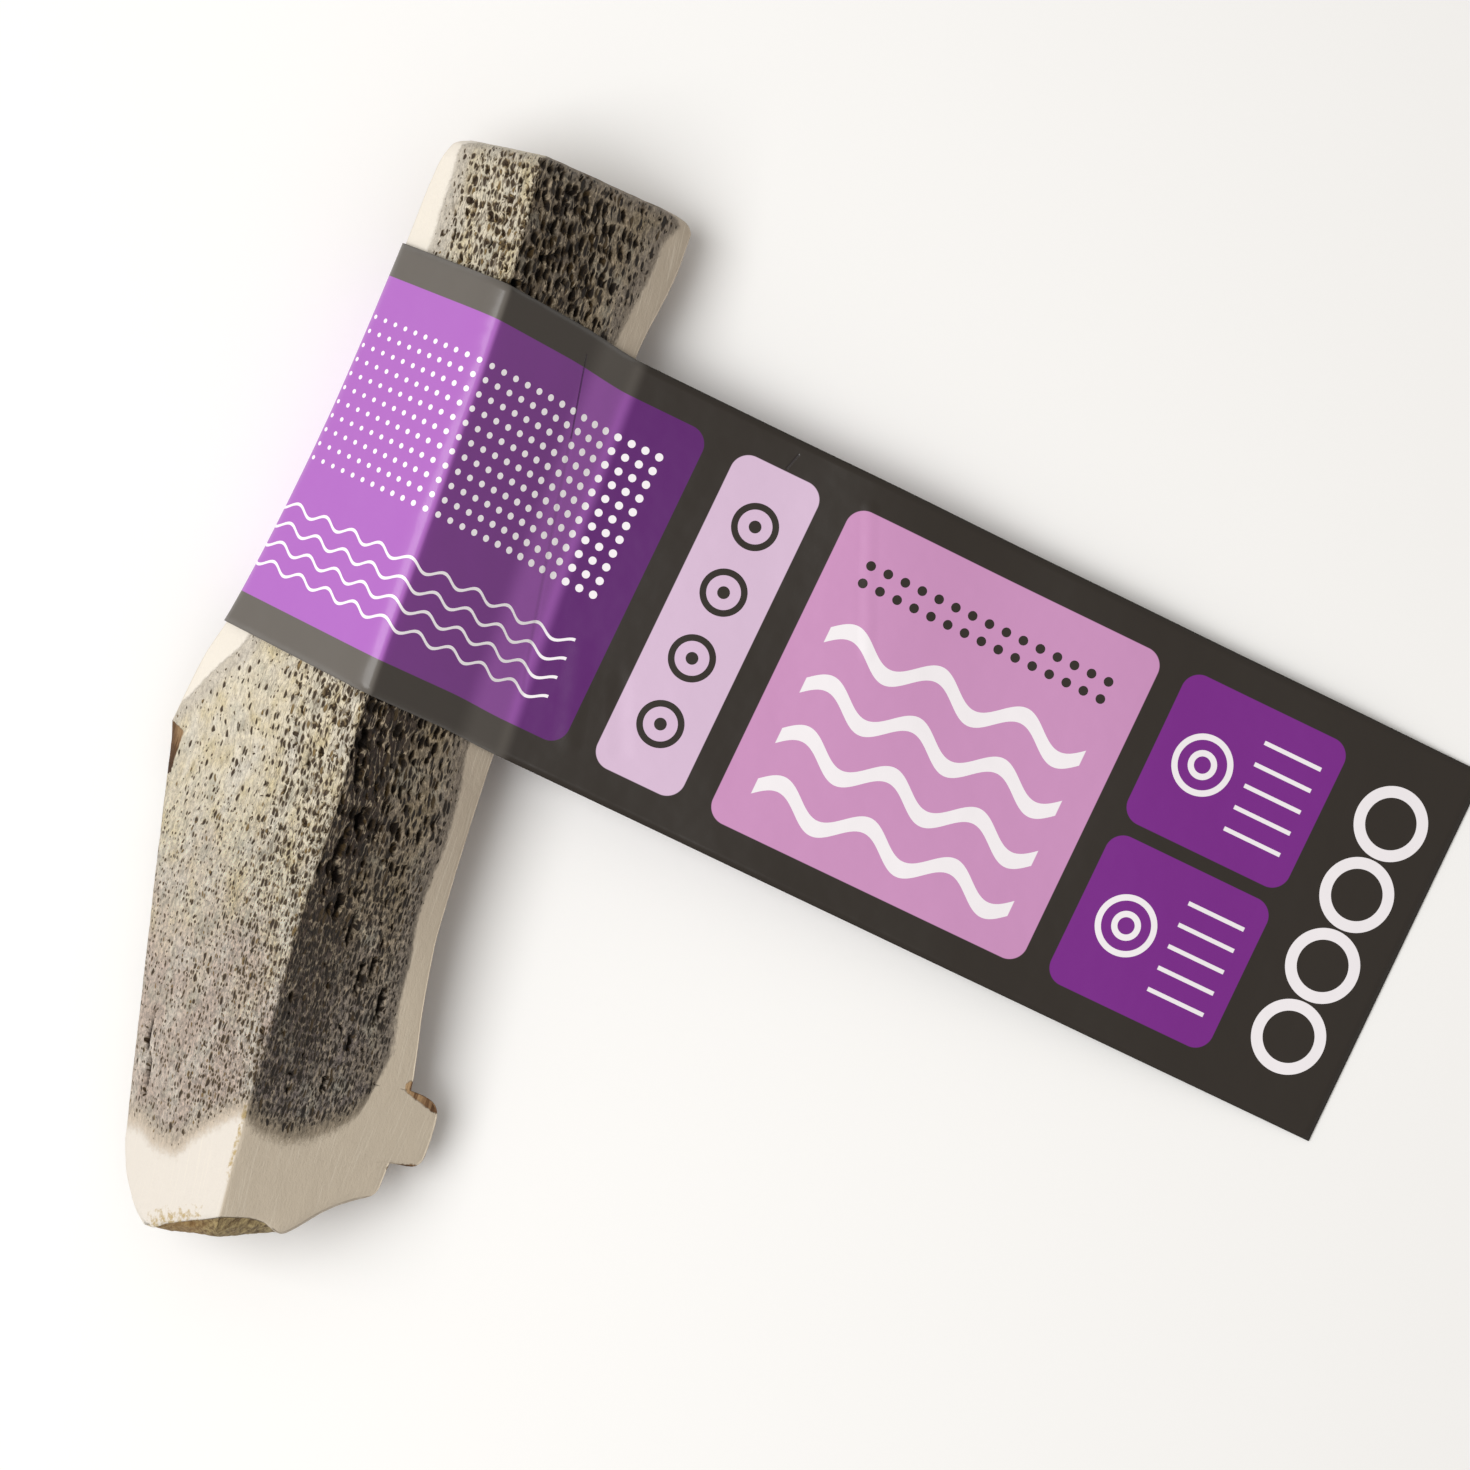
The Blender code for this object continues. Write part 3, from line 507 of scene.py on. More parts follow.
def buildPoreTree(bone):
    tree = bpy.data.node_groups.new("open core", "GeometryNodeTree")
    tree.interface.new_socket("Geometry", in_out="INPUT", socket_type="NodeSocketGeometry")
    values = {}
    for title, value in relief.items():
        values[tree.interface.new_socket(title, in_out="INPUT", socket_type="NodeSocketFloat").identifier] = value
    tree.interface.new_socket("Geometry", in_out="OUTPUT", socket_type="NodeSocketGeometry")
    given = add(tree, "NodeGroupInput").outputs
    grain = add(tree, "GeometryNodeInputNamedAttribute", {"Name": "grain"}, data_type="FLOAT_VECTOR")
    fill = add(tree, "GeometryNodeInputNamedAttribute", {"Name": "fill"}, data_type="FLOAT_VECTOR")
    shares = add(tree, "ShaderNodeSeparateXYZ", {0: fill}).outputs
    cover = add(tree, "GeometryNodeInputNamedAttribute", {"Name": "cover"}, data_type="FLOAT_VECTOR")
    seal = add(tree, "ShaderNodeSeparateXYZ", {0: cover}).outputs[1]
    bark = add(tree, "GeometryNodeInputNamedAttribute", {"Name": "bark"}, data_type="FLOAT")
    side = add(tree, "GeometryNodeInputNamedAttribute", {"Name": "side"}, data_type="FLOAT")
    grain = next(o for o in grain.outputs if o.enabled)

    # the largest pores and the cavities; finer pores are left to the material
    sunk = add(tree, "GeometryNodeInputNamedAttribute", {"Name": "deep"}, data_type="FLOAT")
    for layer, share in zip(poreLayers[:1], shares):
        pattern, _ = porePattern(tree, grain, side, share, layer, 0.15, 0.3)
        carved = add(tree, "ShaderNodeMath", {0: pattern, 1: layer["depth"]}, operation="MULTIPLY")
        sunk = add(tree, "ShaderNodeMath", {0: sunk, 1: carved}, operation="MAXIMUM")
    total = add(tree, "ShaderNodeMath", {0: sunk, 1: given["Pore depth"]}, operation="MULTIPLY")

    # low waves that the saw left, furrows and pearls of the bark, crust of the cast base
    along = add(tree, "ShaderNodeSeparateXYZ", {0: grain}).outputs[1]
    nearBurr = add(tree, "ShaderNodeMapRange", {"Value": along, "From Min": 48.0, "From Max": 18.0})
    furrowed = add(tree, "ShaderNodeVectorMath", {0: grain, 1: (0.42, 0.035, 0.0)}, operation="MULTIPLY")
    pearled = add(tree, "ShaderNodeMath", {0: bark, 1: nearBurr}, operation="MULTIPLY")
    for where, scale, detail, share, height in (
            (grain, 0.28, 3.0, 1.0, "Saw unevenness"), (furrowed, 1.0, 3.0, bark, "Furrow depth"),
            (grain, 0.45, 2.0, pearled, "Pearl height"), (grain, 0.9, 4.0, seal, "Crust depth")):
        bumps = add(tree, "ShaderNodeTexNoise", {"Vector": where, "W": given["Seed"], "Scale": scale,
                                                 "Detail": detail}, noise_dimensions="4D")
        there = add(tree, "ShaderNodeMath", {0: bumps, 1: share}, operation="MULTIPLY")
        total = add(tree, "ShaderNodeMath", {0: there, 1: given[height], 2: total}, operation="MULTIPLY_ADD")
    metres = add(tree, "ShaderNodeMath", {0: total, 1: -mm}, operation="MULTIPLY")
    offset = add(tree, "ShaderNodeVectorMath", {0: add(tree, "GeometryNodeInputNormal"), "Scale": metres},
                 operation="SCALE")
    moved = add(tree, "GeometryNodeSetPosition", {"Geometry": given["Geometry"], "Offset": offset})
    realized = add(tree, "GeometryNodeRealizeInstances", {"Geometry": moved})
    dressed = add(tree, "GeometryNodeSetMaterial", {"Geometry": realized, "Material": bone})
    add(tree, "NodeGroupOutput", {"Geometry": dressed})
    return tree, values


def finished(piece, tree, values):  # the tree's result as the piece's own plain mesh
    modifier = piece.modifiers.new("open core", "NODES")
    modifier.node_group = tree
    for identifier, value in values.items():
        modifier[identifier] = value
    evaluated = piece.evaluated_get(bpy.context.evaluated_depsgraph_get())
    made = bpy.data.meshes.new_from_object(evaluated)
    piece.modifiers.remove(modifier)
    piece.data = made
    return piece


# Sawn reindeer antler, dry and unpolished: matt all over, dense ivory bone outside, a brown-stained open core
boneLooks = dict(
    faces=dict(  # on the left face, and on the right face, darker partly in its own duller bone and partly as painted shade, since it turns away from the light
        compactBelow=("#e0d9cf", "#cdc0ac"),
        compactAbove=("#ebe4d8", "#b8ab99"),
        coreAbove=("#f3e8cf", "#9b8b74"),
        coreBelow=("#d9c7b9", "#827771"),
        grey=("#dbd2c3", "#95897c"),
        fringe=("#d8c8b4", "#a89983"),
        tint=("#dccb9e", "#8d7c5c"),
        pale=("#eee7da", "#a89b8a"),
        # the dark pore middles and the brown rims round them are partly painted shade in the hollows
        poreBrownAndShade=("#43342a", "#1f1711"),
        poreTan=("#9c8152", "#574529"),
        poreRimAndShade=("#b39a6e", "#57462f"),
        # dark threads on the left face; on the right, bright walls that are painted highlights
        threadAndHighlight=("#6f5c49", "#c4b398"),
    ),
    patch="#bdbaa9",
    # the dark stain beside the ridge on the right face, partly painted shade
    stainedAndShaded="#40332a",
    scratch="#f2ead9",
    bark="#85603c",
    barkDark="#452b17",
    barkWorn="#c09e75",
    sealDark="#5e4a2c",
    sealLight="#b5a274",
    rust="#b39a62",
    sealRust="#96703c",
    roughness=0.66,
    specular=0.3,
    ior=1.54,
    bumpStrength=0.9,
)


def boneMaterial():
    material = bpy.data.materials.new("sawn antler bone")
    material.use_nodes = True
    tree = material.node_tree
    shader = tree.nodes["Principled BSDF"]
    fields = {}
    for title in ("grain", "fill", "zone", "cover", "side", "deep"):
        fields[title] = add(tree, "ShaderNodeAttribute", attribute_name=title)
    grain, side, deep = fields["grain"].outputs["Vector"], fields["side"].outputs["Fac"], fields["deep"].outputs["Fac"]
    along = add(tree, "ShaderNodeSeparateXYZ", {0: grain}).outputs[1]
    shares = add(tree, "ShaderNodeSeparateXYZ", {0: fields["fill"].outputs["Vector"]}).outputs
    core, band, stainAndShade = add(tree, "ShaderNodeSeparateXYZ", {0: fields["zone"].outputs["Vector"]}).outputs
    skin, seal, rust = add(tree, "ShaderNodeSeparateXYZ", {0: fields["cover"].outputs["Vector"]}).outputs
    paint = {title: linear(value) for title, value in boneLooks.items() if isinstance(value, str)}
    # each colour as it is on the left face, and darker on the right face, partly as painted shade
    for title, (left, right) in boneLooks["faces"].items():
        paint[title] = add(tree, "ShaderNodeMix", {"Factor": side, "A": linear(left), "B": linear(right)},
                           data_type="RGBA")

    # patterns on the faces: how many to the millimetre across and along, detail, roughness
    noises = {}
    for title, (across, lengthwise), detail, rough in (
            ("blotches", (0.16, 0.12), 4.0, 0.5), ("tints", (0.3, 0.2), 3.0, 0.5), ("ragged", (1.6, 1.2), 4.0, 0.7),
            ("crumb", (2.1, 1.2), 4.0, 0.75), ("fibres", (2.3, 0.3), 4.0, 0.6), ("flecks", (1.1, 1.1), 4.0, 0.7),
            ("threads", (1.3, 0.4), 2.0, 0.5), ("pales", (0.26, 0.13), 4.0, 0.6),
            ("barkLines", (1.1, 0.07), 5.0, 0.6), ("barkTints", (0.22, 0.09), 3.0, 0.5)):
        placed = add(tree, "ShaderNodeVectorMath", {0: grain, 1: (across, lengthwise, 0.0)}, operation="MULTIPLY")
        noises[title] = add(tree, "ShaderNodeTexNoise", {"Vector": placed, "Scale": 1.0, "Detail": detail,
                                                         "Roughness": rough}, noise_dimensions="2D")
    turned = add(tree, "ShaderNodeMapping", {"Vector": grain, "Rotation": (0, 0, 0.35), "Scale": (3.4, 0.09, 1.0)})
    scratches = add(tree, "ShaderNodeTexNoise", {"Vector": turned, "Scale": 1.0, "Detail": 2.0},
                    noise_dimensions="2D")

    # dense bone, finely scratched by the saw, and the open core inside a ragged edge
    above = add(tree, "ShaderNodeMapRange", {"Value": along, "From Min": 36.0, "From Max": 56.0})
    scratched = add(tree, "ShaderNodeMapRange", {"Value": scratches, "From Min": 0.62, "From Max": 0.7,
                                                 "To Max": 0.2})
    dense = paint["compactBelow"]
    for mask, colour in ((above, paint["compactAbove"]), (scratched, paint["scratch"])):
        dense = add(tree, "ShaderNodeMix", {"Factor": mask, "A": dense, "B": colour}, data_type="RGBA")
    ragged = add(tree, "ShaderNodeMath", {0: noises["ragged"], 1: 0.8, 2: core}, operation="MULTIPLY_ADD")
    inCore = add(tree, "ShaderNodeMapRange", {"Value": ragged, "From Min": 0.55, "From Max": 1.25},
                 interpolation_type="SMOOTHSTEP")

    # the core is cream above and pinkish grey below, with yellow, grey and pale clouds, grey inside the rim, and a
    # dark stain beside the ridge on the right face that is partly painted shade
    alongShift = add(tree, "ShaderNodeMath", {0: noises["blotches"], 1: 40.0, 2: along}, operation="MULTIPLY_ADD")
    tint = add(tree, "ShaderNodeMapRange", {"Value": noises["tints"], "From Min": 0.52, "From Max": 0.3,
                                            "To Max": 0.75})
    below = add(tree, "ShaderNodeMapRange", {"Value": alongShift, "From Min": 72.0, "From Max": 46.0},
                interpolation_type="SMOOTHSTEP")
    patch = add(tree, "ShaderNodeMapRange", {"Value": noises["tints"], "From Min": 0.54, "From Max": 0.7,
                                             "To Max": 0.5})
    pale = add(tree, "ShaderNodeMapRange", {"Value": noises["pales"], "From Min": 0.46, "From Max": 0.72,
                                            "To Max": 0.7})
    grey = add(tree, "ShaderNodeMath", {0: band, 1: 0.85}, operation="MULTIPLY")
    atBase = add(tree, "ShaderNodeMapRange", {"Value": along, "From Min": 30.0, "From Max": 20.0, "To Max": grey})
    ground = paint["coreAbove"]
    for mask, colour in (
            (tint, paint["tint"]), (below, paint["coreBelow"]), (patch, paint["patch"]), (pale, paint["pale"]),
            (grey, paint["grey"]), (atBase, paint["fringe"]), (stainAndShade, paint["stainedAndShaded"])):
        ground = add(tree, "ShaderNodeMix", {"Factor": mask, "A": ground, "B": colour}, data_type="RGBA")

    # thin threads along the beam: dark ones low on the left face, and bright walls on the right that are painted
    # highlights
    folded = add(tree, "ShaderNodeMath", {0: noises["threads"], 1: 0.5}, operation="SUBTRACT")
    folded = add(tree, "ShaderNodeMath", {0: folded}, operation="ABSOLUTE")
    threadAndHighlight = add(tree, "ShaderNodeMapRange", {"Value": folded, "From Min": 0.06, "From Max": 0.01, "To Max": 0.9})
    threadAndHighlightShare = add(tree, "ShaderNodeMath", {0: threadAndHighlight, 1: shares[1]}, operation="MULTIPLY")
    ground = add(tree, "ShaderNodeMix", {"Factor": threadAndHighlightShare, "A": ground, "B": paint["threadAndHighlight"]},
                 data_type="RGBA")

    # crumbly texture, its light specks partly painted highlights and its dark ones partly painted shade, and long
    # fibres, which show more on the right face
    fibreShare = add(tree, "ShaderNodeMapRange", {"Value": side, "To Min": 0.4, "To Max": 1.0})
    darkest = add(tree, "ShaderNodeMapRange", {"Value": side, "To Min": 0.66, "To Max": 0.24})
    lightest = add(tree, "ShaderNodeMapRange", {"Value": side, "To Min": 1.78, "To Max": 1.8})
    crumbToneAndHighlight = add(tree, "ShaderNodeMapRange", {"Value": noises["crumb"], "From Min": 0.38, "From Max": 0.6,
                                                 "To Min": darkest, "To Max": lightest})
    fibreTone = add(tree, "ShaderNodeMapRange", {"Value": noises["fibres"], "From Min": 0.32, "From Max": 0.68,
                                                 "To Min": 0.7, "To Max": 1.15})
    for mask, tone in ((shares[2], crumbToneAndHighlight), (fibreShare, fibreTone)):
        ground = add(tree, "ShaderNodeMix", {"Factor": mask, "A": ground, "B": tone}, data_type="RGBA",
                     blend_type="MULTIPLY")
    ground = add(tree, "ShaderNodeMix", {"Factor": inCore, "A": dense, "B": ground}, data_type="RGBA")

    # pores: brown walls round a dark or tan-filled middle, the brown rims and dark middles partly painted shade in the
    # hollows
    height = add(tree, "ShaderNodeMath", {0: deep, 1: -0.6}, operation="MULTIPLY")
    for layer, share, darkness, sunk in zip(poreLayers, shares, (0.93, 0.93, 0.8), (0.35, 0.8, 0.35)):
        pattern, chance = porePattern(tree, grain, side, share, layer, 0.35, 0.13)
        wall = add(tree, "ShaderNodeMapRange", {"Value": pattern, "From Min": 0.03, "From Max": 0.4, "To Max": 0.8})
        hollowShade = add(tree, "ShaderNodeMapRange", {"Value": pattern, "From Min": 0.25, "From Max": 0.75,
                                                  "To Max": darkness})
        tan = add(tree, "ShaderNodeMath", {0: chance.outputs[2], 1: 0.89}, operation="GREATER_THAN")
        inPore = add(tree, "ShaderNodeMix", {"Factor": tan, "A": paint["poreBrownAndShade"], "B": paint["poreTan"]},
                     data_type="RGBA")
        for mask, colour in ((wall, paint["poreRimAndShade"]), (hollowShade, inPore)):
            ground = add(tree, "ShaderNodeMix", {"Factor": mask, "A": ground, "B": colour}, data_type="RGBA")
        height = add(tree, "ShaderNodeMath", {0: pattern, 1: -sunk, 2: height}, operation="MULTIPLY_ADD")

    # bark skin is brown in the furrows and rubbed pale on the high lines; the cast base is speckled brown and olive
    barkTone = add(tree, "ShaderNodeMath", {0: noises["barkLines"], 1: noises["barkTints"]})
    barkShare = add(tree, "ShaderNodeMapRange", {"Value": barkTone, "From Min": 0.75, "From Max": 1.2})
    barkRub = add(tree, "ShaderNodeMapRange", {"Value": barkTone, "From Min": 1.02, "From Max": 1.3})
    barkColour = add(tree, "ShaderNodeMix", {"Factor": barkShare, "A": paint["barkDark"], "B": paint["bark"]},
                     data_type="RGBA")
    barkColour = add(tree, "ShaderNodeMix", {"Factor": barkRub, "A": barkColour, "B": paint["barkWorn"]},
                     data_type="RGBA")
    speckle = add(tree, "ShaderNodeMapRange", {"Value": noises["flecks"], "From Min": 0.36, "From Max": 0.64})
    sealColour = add(tree, "ShaderNodeMix", {"Factor": speckle, "A": paint["sealDark"], "B": paint["sealLight"]},
                     data_type="RGBA")
    # the carved cavities are darkened in colour too: painted shade in their hollows
    cavityShade = add(tree, "ShaderNodeMapRange", {"Value": deep, "From Min": 0.25, "From Max": 0.9, "To Max": 0.92},
                 interpolation_type="SMOOTHSTEP")
    rustNoise = add(tree, "ShaderNodeMath", {0: rust, 1: 0.5, 2: noises["flecks"]}, operation="MULTIPLY_ADD")
    rusty = add(tree, "ShaderNodeMapRange", {"Value": rustNoise, "From Min": 0.92, "From Max": 1.12, "To Max": 0.85})
    sealShare = add(tree, "ShaderNodeMath", {0: rust, 1: 0.55}, operation="MULTIPLY")
    sealColour = add(tree, "ShaderNodeMix", {"Factor": sealShare, "A": sealColour, "B": paint["sealRust"]},
                     data_type="RGBA")
    skinNoise = add(tree, "ShaderNodeMath", {0: noises["ragged"], 1: 0.8, 2: skin}, operation="MULTIPLY_ADD")
    skinned = add(tree, "ShaderNodeMapRange", {"Value": skinNoise, "From Min": 0.7, "From Max": 1.0})
    sealNoise = add(tree, "ShaderNodeMath", {0: noises["ragged"], 1: 0.8, 2: seal}, operation="MULTIPLY_ADD")
    sealed = add(tree, "ShaderNodeMapRange", {"Value": sealNoise, "From Min": 0.7, "From Max": 1.0})
    for mask, colour in (
            (cavityShade, paint["poreBrownAndShade"]), (rusty, paint["rust"]), (skinned, barkColour), (sealed, sealColour)):
        ground = add(tree, "ShaderNodeMix", {"Factor": mask, "A": ground, "B": colour}, data_type="RGBA")
    tree.links.new(ground.outputs[2], shader.inputs["Base Color"])

    grit = add(tree, "ShaderNodeMapRange", {"Value": shares[2], "From Max": 0.7, "To Min": 0.06, "To Max": inCore})
    for pattern, share, amount in ((noises["crumb"], grit, 1.7), (noises["fibres"], inCore, 0.35),
                                   (noises["flecks"], sealed, 0.7), (noises["barkLines"], skinned, 0.5)):
        there = add(tree, "ShaderNodeMath", {0: pattern, 1: share}, operation="MULTIPLY")
        height = add(tree, "ShaderNodeMath", {0: there, 1: amount, 2: height}, operation="MULTIPLY_ADD")
    bump = add(tree, "ShaderNodeBump", {"Height": height, "Distance": mm, "Strength": boneLooks["bumpStrength"]})
    tree.links.new(bump.outputs[0], shader.inputs["Normal"])
    shader.inputs["Roughness"].default_value = boneLooks["roughness"]
    shader.inputs["IOR"].default_value = boneLooks["ior"]
    shader.inputs["Specular IOR Level"].default_value = boneLooks["specular"]
    return material


poreTree, poreInputs = buildPoreTree(boneMaterial())
antlerPiece = finished(buildAntler(), poreTree, poreInputs)
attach(antlerPiece, "root")
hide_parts("antler")
print("antler:", len(antlerPiece.data.polygons), "faces")

# Printed film strip, wrapped once and stuck back to back as a flag
strip = dict(
    turn=math.radians(-7.2),
    middle=95.65,
    width=51.9,
    rise=0.4,  # the strip climbs by this much as it leaves the antler's right edge
    riseOver=8.0,
    gap=0.3,
    slack=0.16,  # how far the film stands off the middle of a sawn face
    crown=(0.5, 3.4),  # how far it stands off left of the ridge, and how far from the ridge that is
    film=0.12,
    flagEnd=121.58,
    meet=2.6,  # where the two ends of the strip come together, past the antler's right edge
    wave=0.55,
    waveAt=36.0,
    waveReach=17.0,
    ripples=((0.16, 5.3, 9.0), (0.22, 13.0, -17.0)),  # height, then length along and across the strip
    bendRadius=0.7,
    showsAndSheen=(0.6, 0.25, 1.0),  # how much the film is lightened: at the right rim and right of the ridge by the pale bone under it, and left of the ridge also by painted sheen from the light
    clear=0.012,  # the flag's end stays this far off the table
    rows=54,
    flagPoints=120,
    measured=dict(right=30, left=30, bark=70),
    evenPoints=1700,
    columns=(100, 300, 66),  # front layer of the flag, wrap, back layer
)


def stripSection(v):  # the antler's outline under lines across the strip, in its own length and height
    turnCos, turnSin = math.cos(strip["turn"]), math.sin(strip["turn"])
    lines, firstU = [], None
    for part, count in strip["measured"].items():
        q = np.linspace(0, 1, count)[None, : count if part == "bark" else count - 1]
        y = v[:, None] + 0 * q
        rise = 0 * y
        for _ in range(12):
            x, z = sectionPoints(y, y, part, q, relief=False)
            y = (v[:, None] + rise + x * turnSin) / turnCos
            u = x * turnCos + y * turnSin
            edge = u[:, :1] if firstU is None else firstU
            rise = strip["rise"] * (0.5 - 0.5 * np.cos(np.pi * np.clip((edge - u) / strip["riseOver"], 0, 1)))
        firstU = u[:, :1] if firstU is None else firstU
        lines.append(np.stack((u, v[:, None] + rise, z), axis=2))
    return np.concatenate(lines, axis=1)


def standOff(line, away):  # the outline moved outwards by a distance at each of its points
    step = np.diff(line[:, [0, 2]], axis=0)
    normals = np.stack((step[:, 1], -step[:, 0]), axis=1) / np.linalg.norm(step, axis=1)[:, None]
    before, after = np.concatenate((normals[:1], normals)), np.concatenate((normals, normals[-1:]))
    moved = line.copy()
    moved[:, [0, 2]] += (before + after) * (away / (1 + np.sum(before * after, axis=1)))[:, None]
    return moved


def smoothed(path):  # the path at even steps, with its corners bent round
    run = np.concatenate(([0], np.cumsum(np.linalg.norm(np.diff(path, axis=0), axis=1))))
    even = np.linspace(0, run[-1], strip["evenPoints"])
    points = np.stack([np.interp(even, run, path[:, i]) for i in range(3)], axis=1)
    reach = math.ceil(3 * strip["bendRadius"] / even[1])
    kernel = np.exp(-0.5 * (np.arange(-reach, reach + 1) * even[1] / strip["bendRadius"]) ** 2)
    before, after = 2 * points[:1] - points[reach:0:-1], 2 * points[-1:] - points[-2 : -reach - 2 : -1]
    padded = np.concatenate((before, points, after))
    bent = np.stack([np.convolve(padded[:, i], kernel / kernel.sum(), "valid") for i in range(3)], axis=1)
    return even, bent, run


def buildLabel():
    v = strip["middle"] + strip["width"] * (np.linspace(0, 1, strip["rows"]) - 0.5)
    outline = stripSection(v)
    halfFilm = 0.5 * strip["film"]
    bulge = [np.sin(np.linspace(0, np.pi, strip["measured"][part])[:-1]) for part in ("right", "left")]
    bulge = np.concatenate(bulge + [np.zeros(strip["measured"]["bark"])])
    away = strip["gap"] + halfFilm + strip["slack"] * bulge
    ridge = strip["measured"]["right"] - 1
    runs = alongRow(outline)
    ridgeRun = runs[:, ridge : ridge + 1]
    fromRidge = np.clip(runs - ridgeRun, 0, None) / strip["crown"][1]
    crown = strip["crown"][0] * fromRidge * np.exp(1 - fromRidge)
    paths = []
    for across, line, lift in zip(v, outline, crown):
        start, startZ = line[0, 0] + strip["meet"], line[0, 2]
        u = np.linspace(start, strip["flagEnd"], strip["flagPoints"])
        share = (u - start) / (strip["flagEnd"] - start)
        near = np.clip(np.abs(u - start - strip["waveAt"]) / strip["waveReach"], 0, 1)
        height = startZ * (1 - share) + strip["clear"] * share + strip["wave"] * (0.5 + 0.5 * np.cos(np.pi * near))
        for swing, lengthwise, crosswise in strip["ripples"]:
            height = height + swing * np.sin(u / lengthwise + across / crosswise) * ease(share, 0.04, 0.2) \
                * (1 - ease(share, 0.8, 1.0))
        layers = [np.stack((u, across + 0 * u, height + side * (halfFilm + 0.01)), axis=1) for side in (1, -1)]
        even, bent, run = smoothed(np.concatenate((layers[0][::-1], standOff(line, away + lift), layers[1])))
        wrapFrom, wrapTo = run[len(u) - 1] - 1.0, run[len(u) + len(line)] + 1.0
        front, wrap, back = strip["columns"]
        at = np.concatenate((np.linspace(0, wrapFrom, front, endpoint=False),
                             np.linspace(wrapFrom, wrapTo, wrap, endpoint=False), np.linspace(wrapTo, run[-1], back)))
        points = [np.interp(at, even, bent[:, i]) for i in range(3)]
        paths.append(np.stack(points + [strip["flagEnd"] - at], axis=1))
    grid = np.array(paths)
    centre, alongStrip = grid[:, :, :3], grid[:, :, 3]
    normal = np.cross(np.gradient(centre, axis=0), np.gradient(centre, axis=1))
    normal /= np.linalg.norm(normal, axis=2)[:, :, None]
    if normal[len(v) // 2, 5, 2] < 0:
        normal = -normal
    turnCos, turnSin = math.cos(strip["turn"]), math.sin(strip["turn"])
    turned = np.array(((turnCos, turnSin, 0), (-turnSin, turnCos, 0), (0, 0, 1)))
    points = np.concatenate([((centre + side * halfFilm * normal) @ turned).reshape(-1, 3) for side in (1, -1)])

    rows, columns = alongStrip.shape
    size = rows * columns
    faces = []
    for r in range(rows - 1):
        for a in range(r * columns, (r + 1) * columns - 1):
            loop = (a, a + columns, a + columns + 1, a + 1)
            faces += [loop, tuple(size + i for i in loop[::-1])]
    rim = list(range(columns)) + list(range(2 * columns - 1, size, columns))
    rim += list(range(size - 2, size - columns - 1, -1)) + list(range(size - 2 * columns, 0, -columns))
    faces += [(a, b, size + b, size + a) for a, b in zip(rim, rim[1:] + rim[:1])]

    fromEnd = strip["flagEnd"] - alongStrip
    flagRun = strip["flagEnd"] - outline[:, :1, 0]  # along the flag, from its end to the antler's right edge
    wrapRun = runs[:, -1:] + 2 * strip["meet"]
    toRidge = fromEnd - flagRun - ridgeRun
    # the film over the bone is lightened, most left of the ridge, where it is painted sheen
    rim, core, left = strip["showsAndSheen"]
    showsAndSheen = rim + (core - rim) * ease(fromEnd - flagRun, 4.5, 8.0) + (left - core) * ease(toRidge, -0.2, 0.5)
    overBoneAndSheen = showsAndSheen * ease(fromEnd, flagRun - 1.6, flagRun + 0.2)
    overBoneAndSheen = overBoneAndSheen * (1 - ease(fromEnd, flagRun + wrapRun - 1, flagRun + wrapRun + 1))
    printAt = np.stack((alongStrip, np.repeat(v[:, None], columns, axis=1), 0 * alongStrip), axis=2).reshape(-1, 3)
    fields = dict(printAt=np.tile(printAt, (2, 1)), overBoneAndSheen=np.tile(overBoneAndSheen.ravel(), 2))
    return meshFrom("film-strip", points, faces, fields)


# Printed polypropylene film, gravure printed and laminated: smooth, with a clear satin gloss that
# Over the bone it is one layer and lets the pale bone brighten its inks; left of the ridge they are painted lighter
# still, as sheen from the light.
filmLooks = dict(
    charcoal=("#28211a", "#66615b"),  # on the flag, and over pale bone, where the lighter colour is partly painted sheen
    purple=("#5a0f6c", "#b169c4"),
    violet=("#7a1c8c", "#b169c4"),
    lilac=("#cf94c4", "#d9a0cf"),
    pale=("#dbbfda", "#dbbfda"),
    white=("#f9f5f9", "#f9f5f9"),
    roughness=0.36,
    specular=0.35,
    ior=1.5,
    coat=0.4,
    coatRoughness=0.16,
)

# Panels of the print: ink, middle and half size along and across the strip, corner radius
panels = (
    ("purple", (-22.0, 95.65), (36.0, 21.6), 2.4),
    ("pale", (24.0, 95.65), (6.0, 21.6), 2.4),
    ("lilac", (56.0, 95.65), (22.0, 21.6), 2.4),
    ("violet", (93.0, 106.9), (11.5, 10.35), 2.4),
    ("violet", (93.0, 84.4), (11.5, 10.35), 2.4),
    ("pale", (-118.0, 95.65), (30.0, 21.6), 2.4),
    ("purple", (-165.0, 95.65), (12.0, 21.6), 2.4),
)

# Fields of dots: ink, middle, dots along and across, pitch, radius at the first and at the last dot
dotFields = (
    ("white", (-20.0, 102.4), (32, 11), 1.9, (0.22, 0.52)),
    ("charcoal", (56.0, 110.0), (15, 2), 2.4, (0.62, 0.62)),
    ("charcoal", (-118.0, 95.65), (20, 14), 2.6, (0.3, 0.7)),
)

# Sets of waves: ink, middle, lines, pitch, swing, wave length, waves, line width
waveFields = (
    ("white", (-20.0, 82.4), 4, 2.6, 0.55, 5.2, 11.5, 0.4),
    ("white", (56.0, 90.6), 4, 7.0, 1.6, 12.0, 3.0, 2.1),
    ("white", (98.2, 106.9), 5, 3.0, 0.0, 8.0, 1.0, 0.56),
    ("white", (98.2, 84.4), 5, 3.0, 0.0, 8.0, 1.0, 0.56),
)

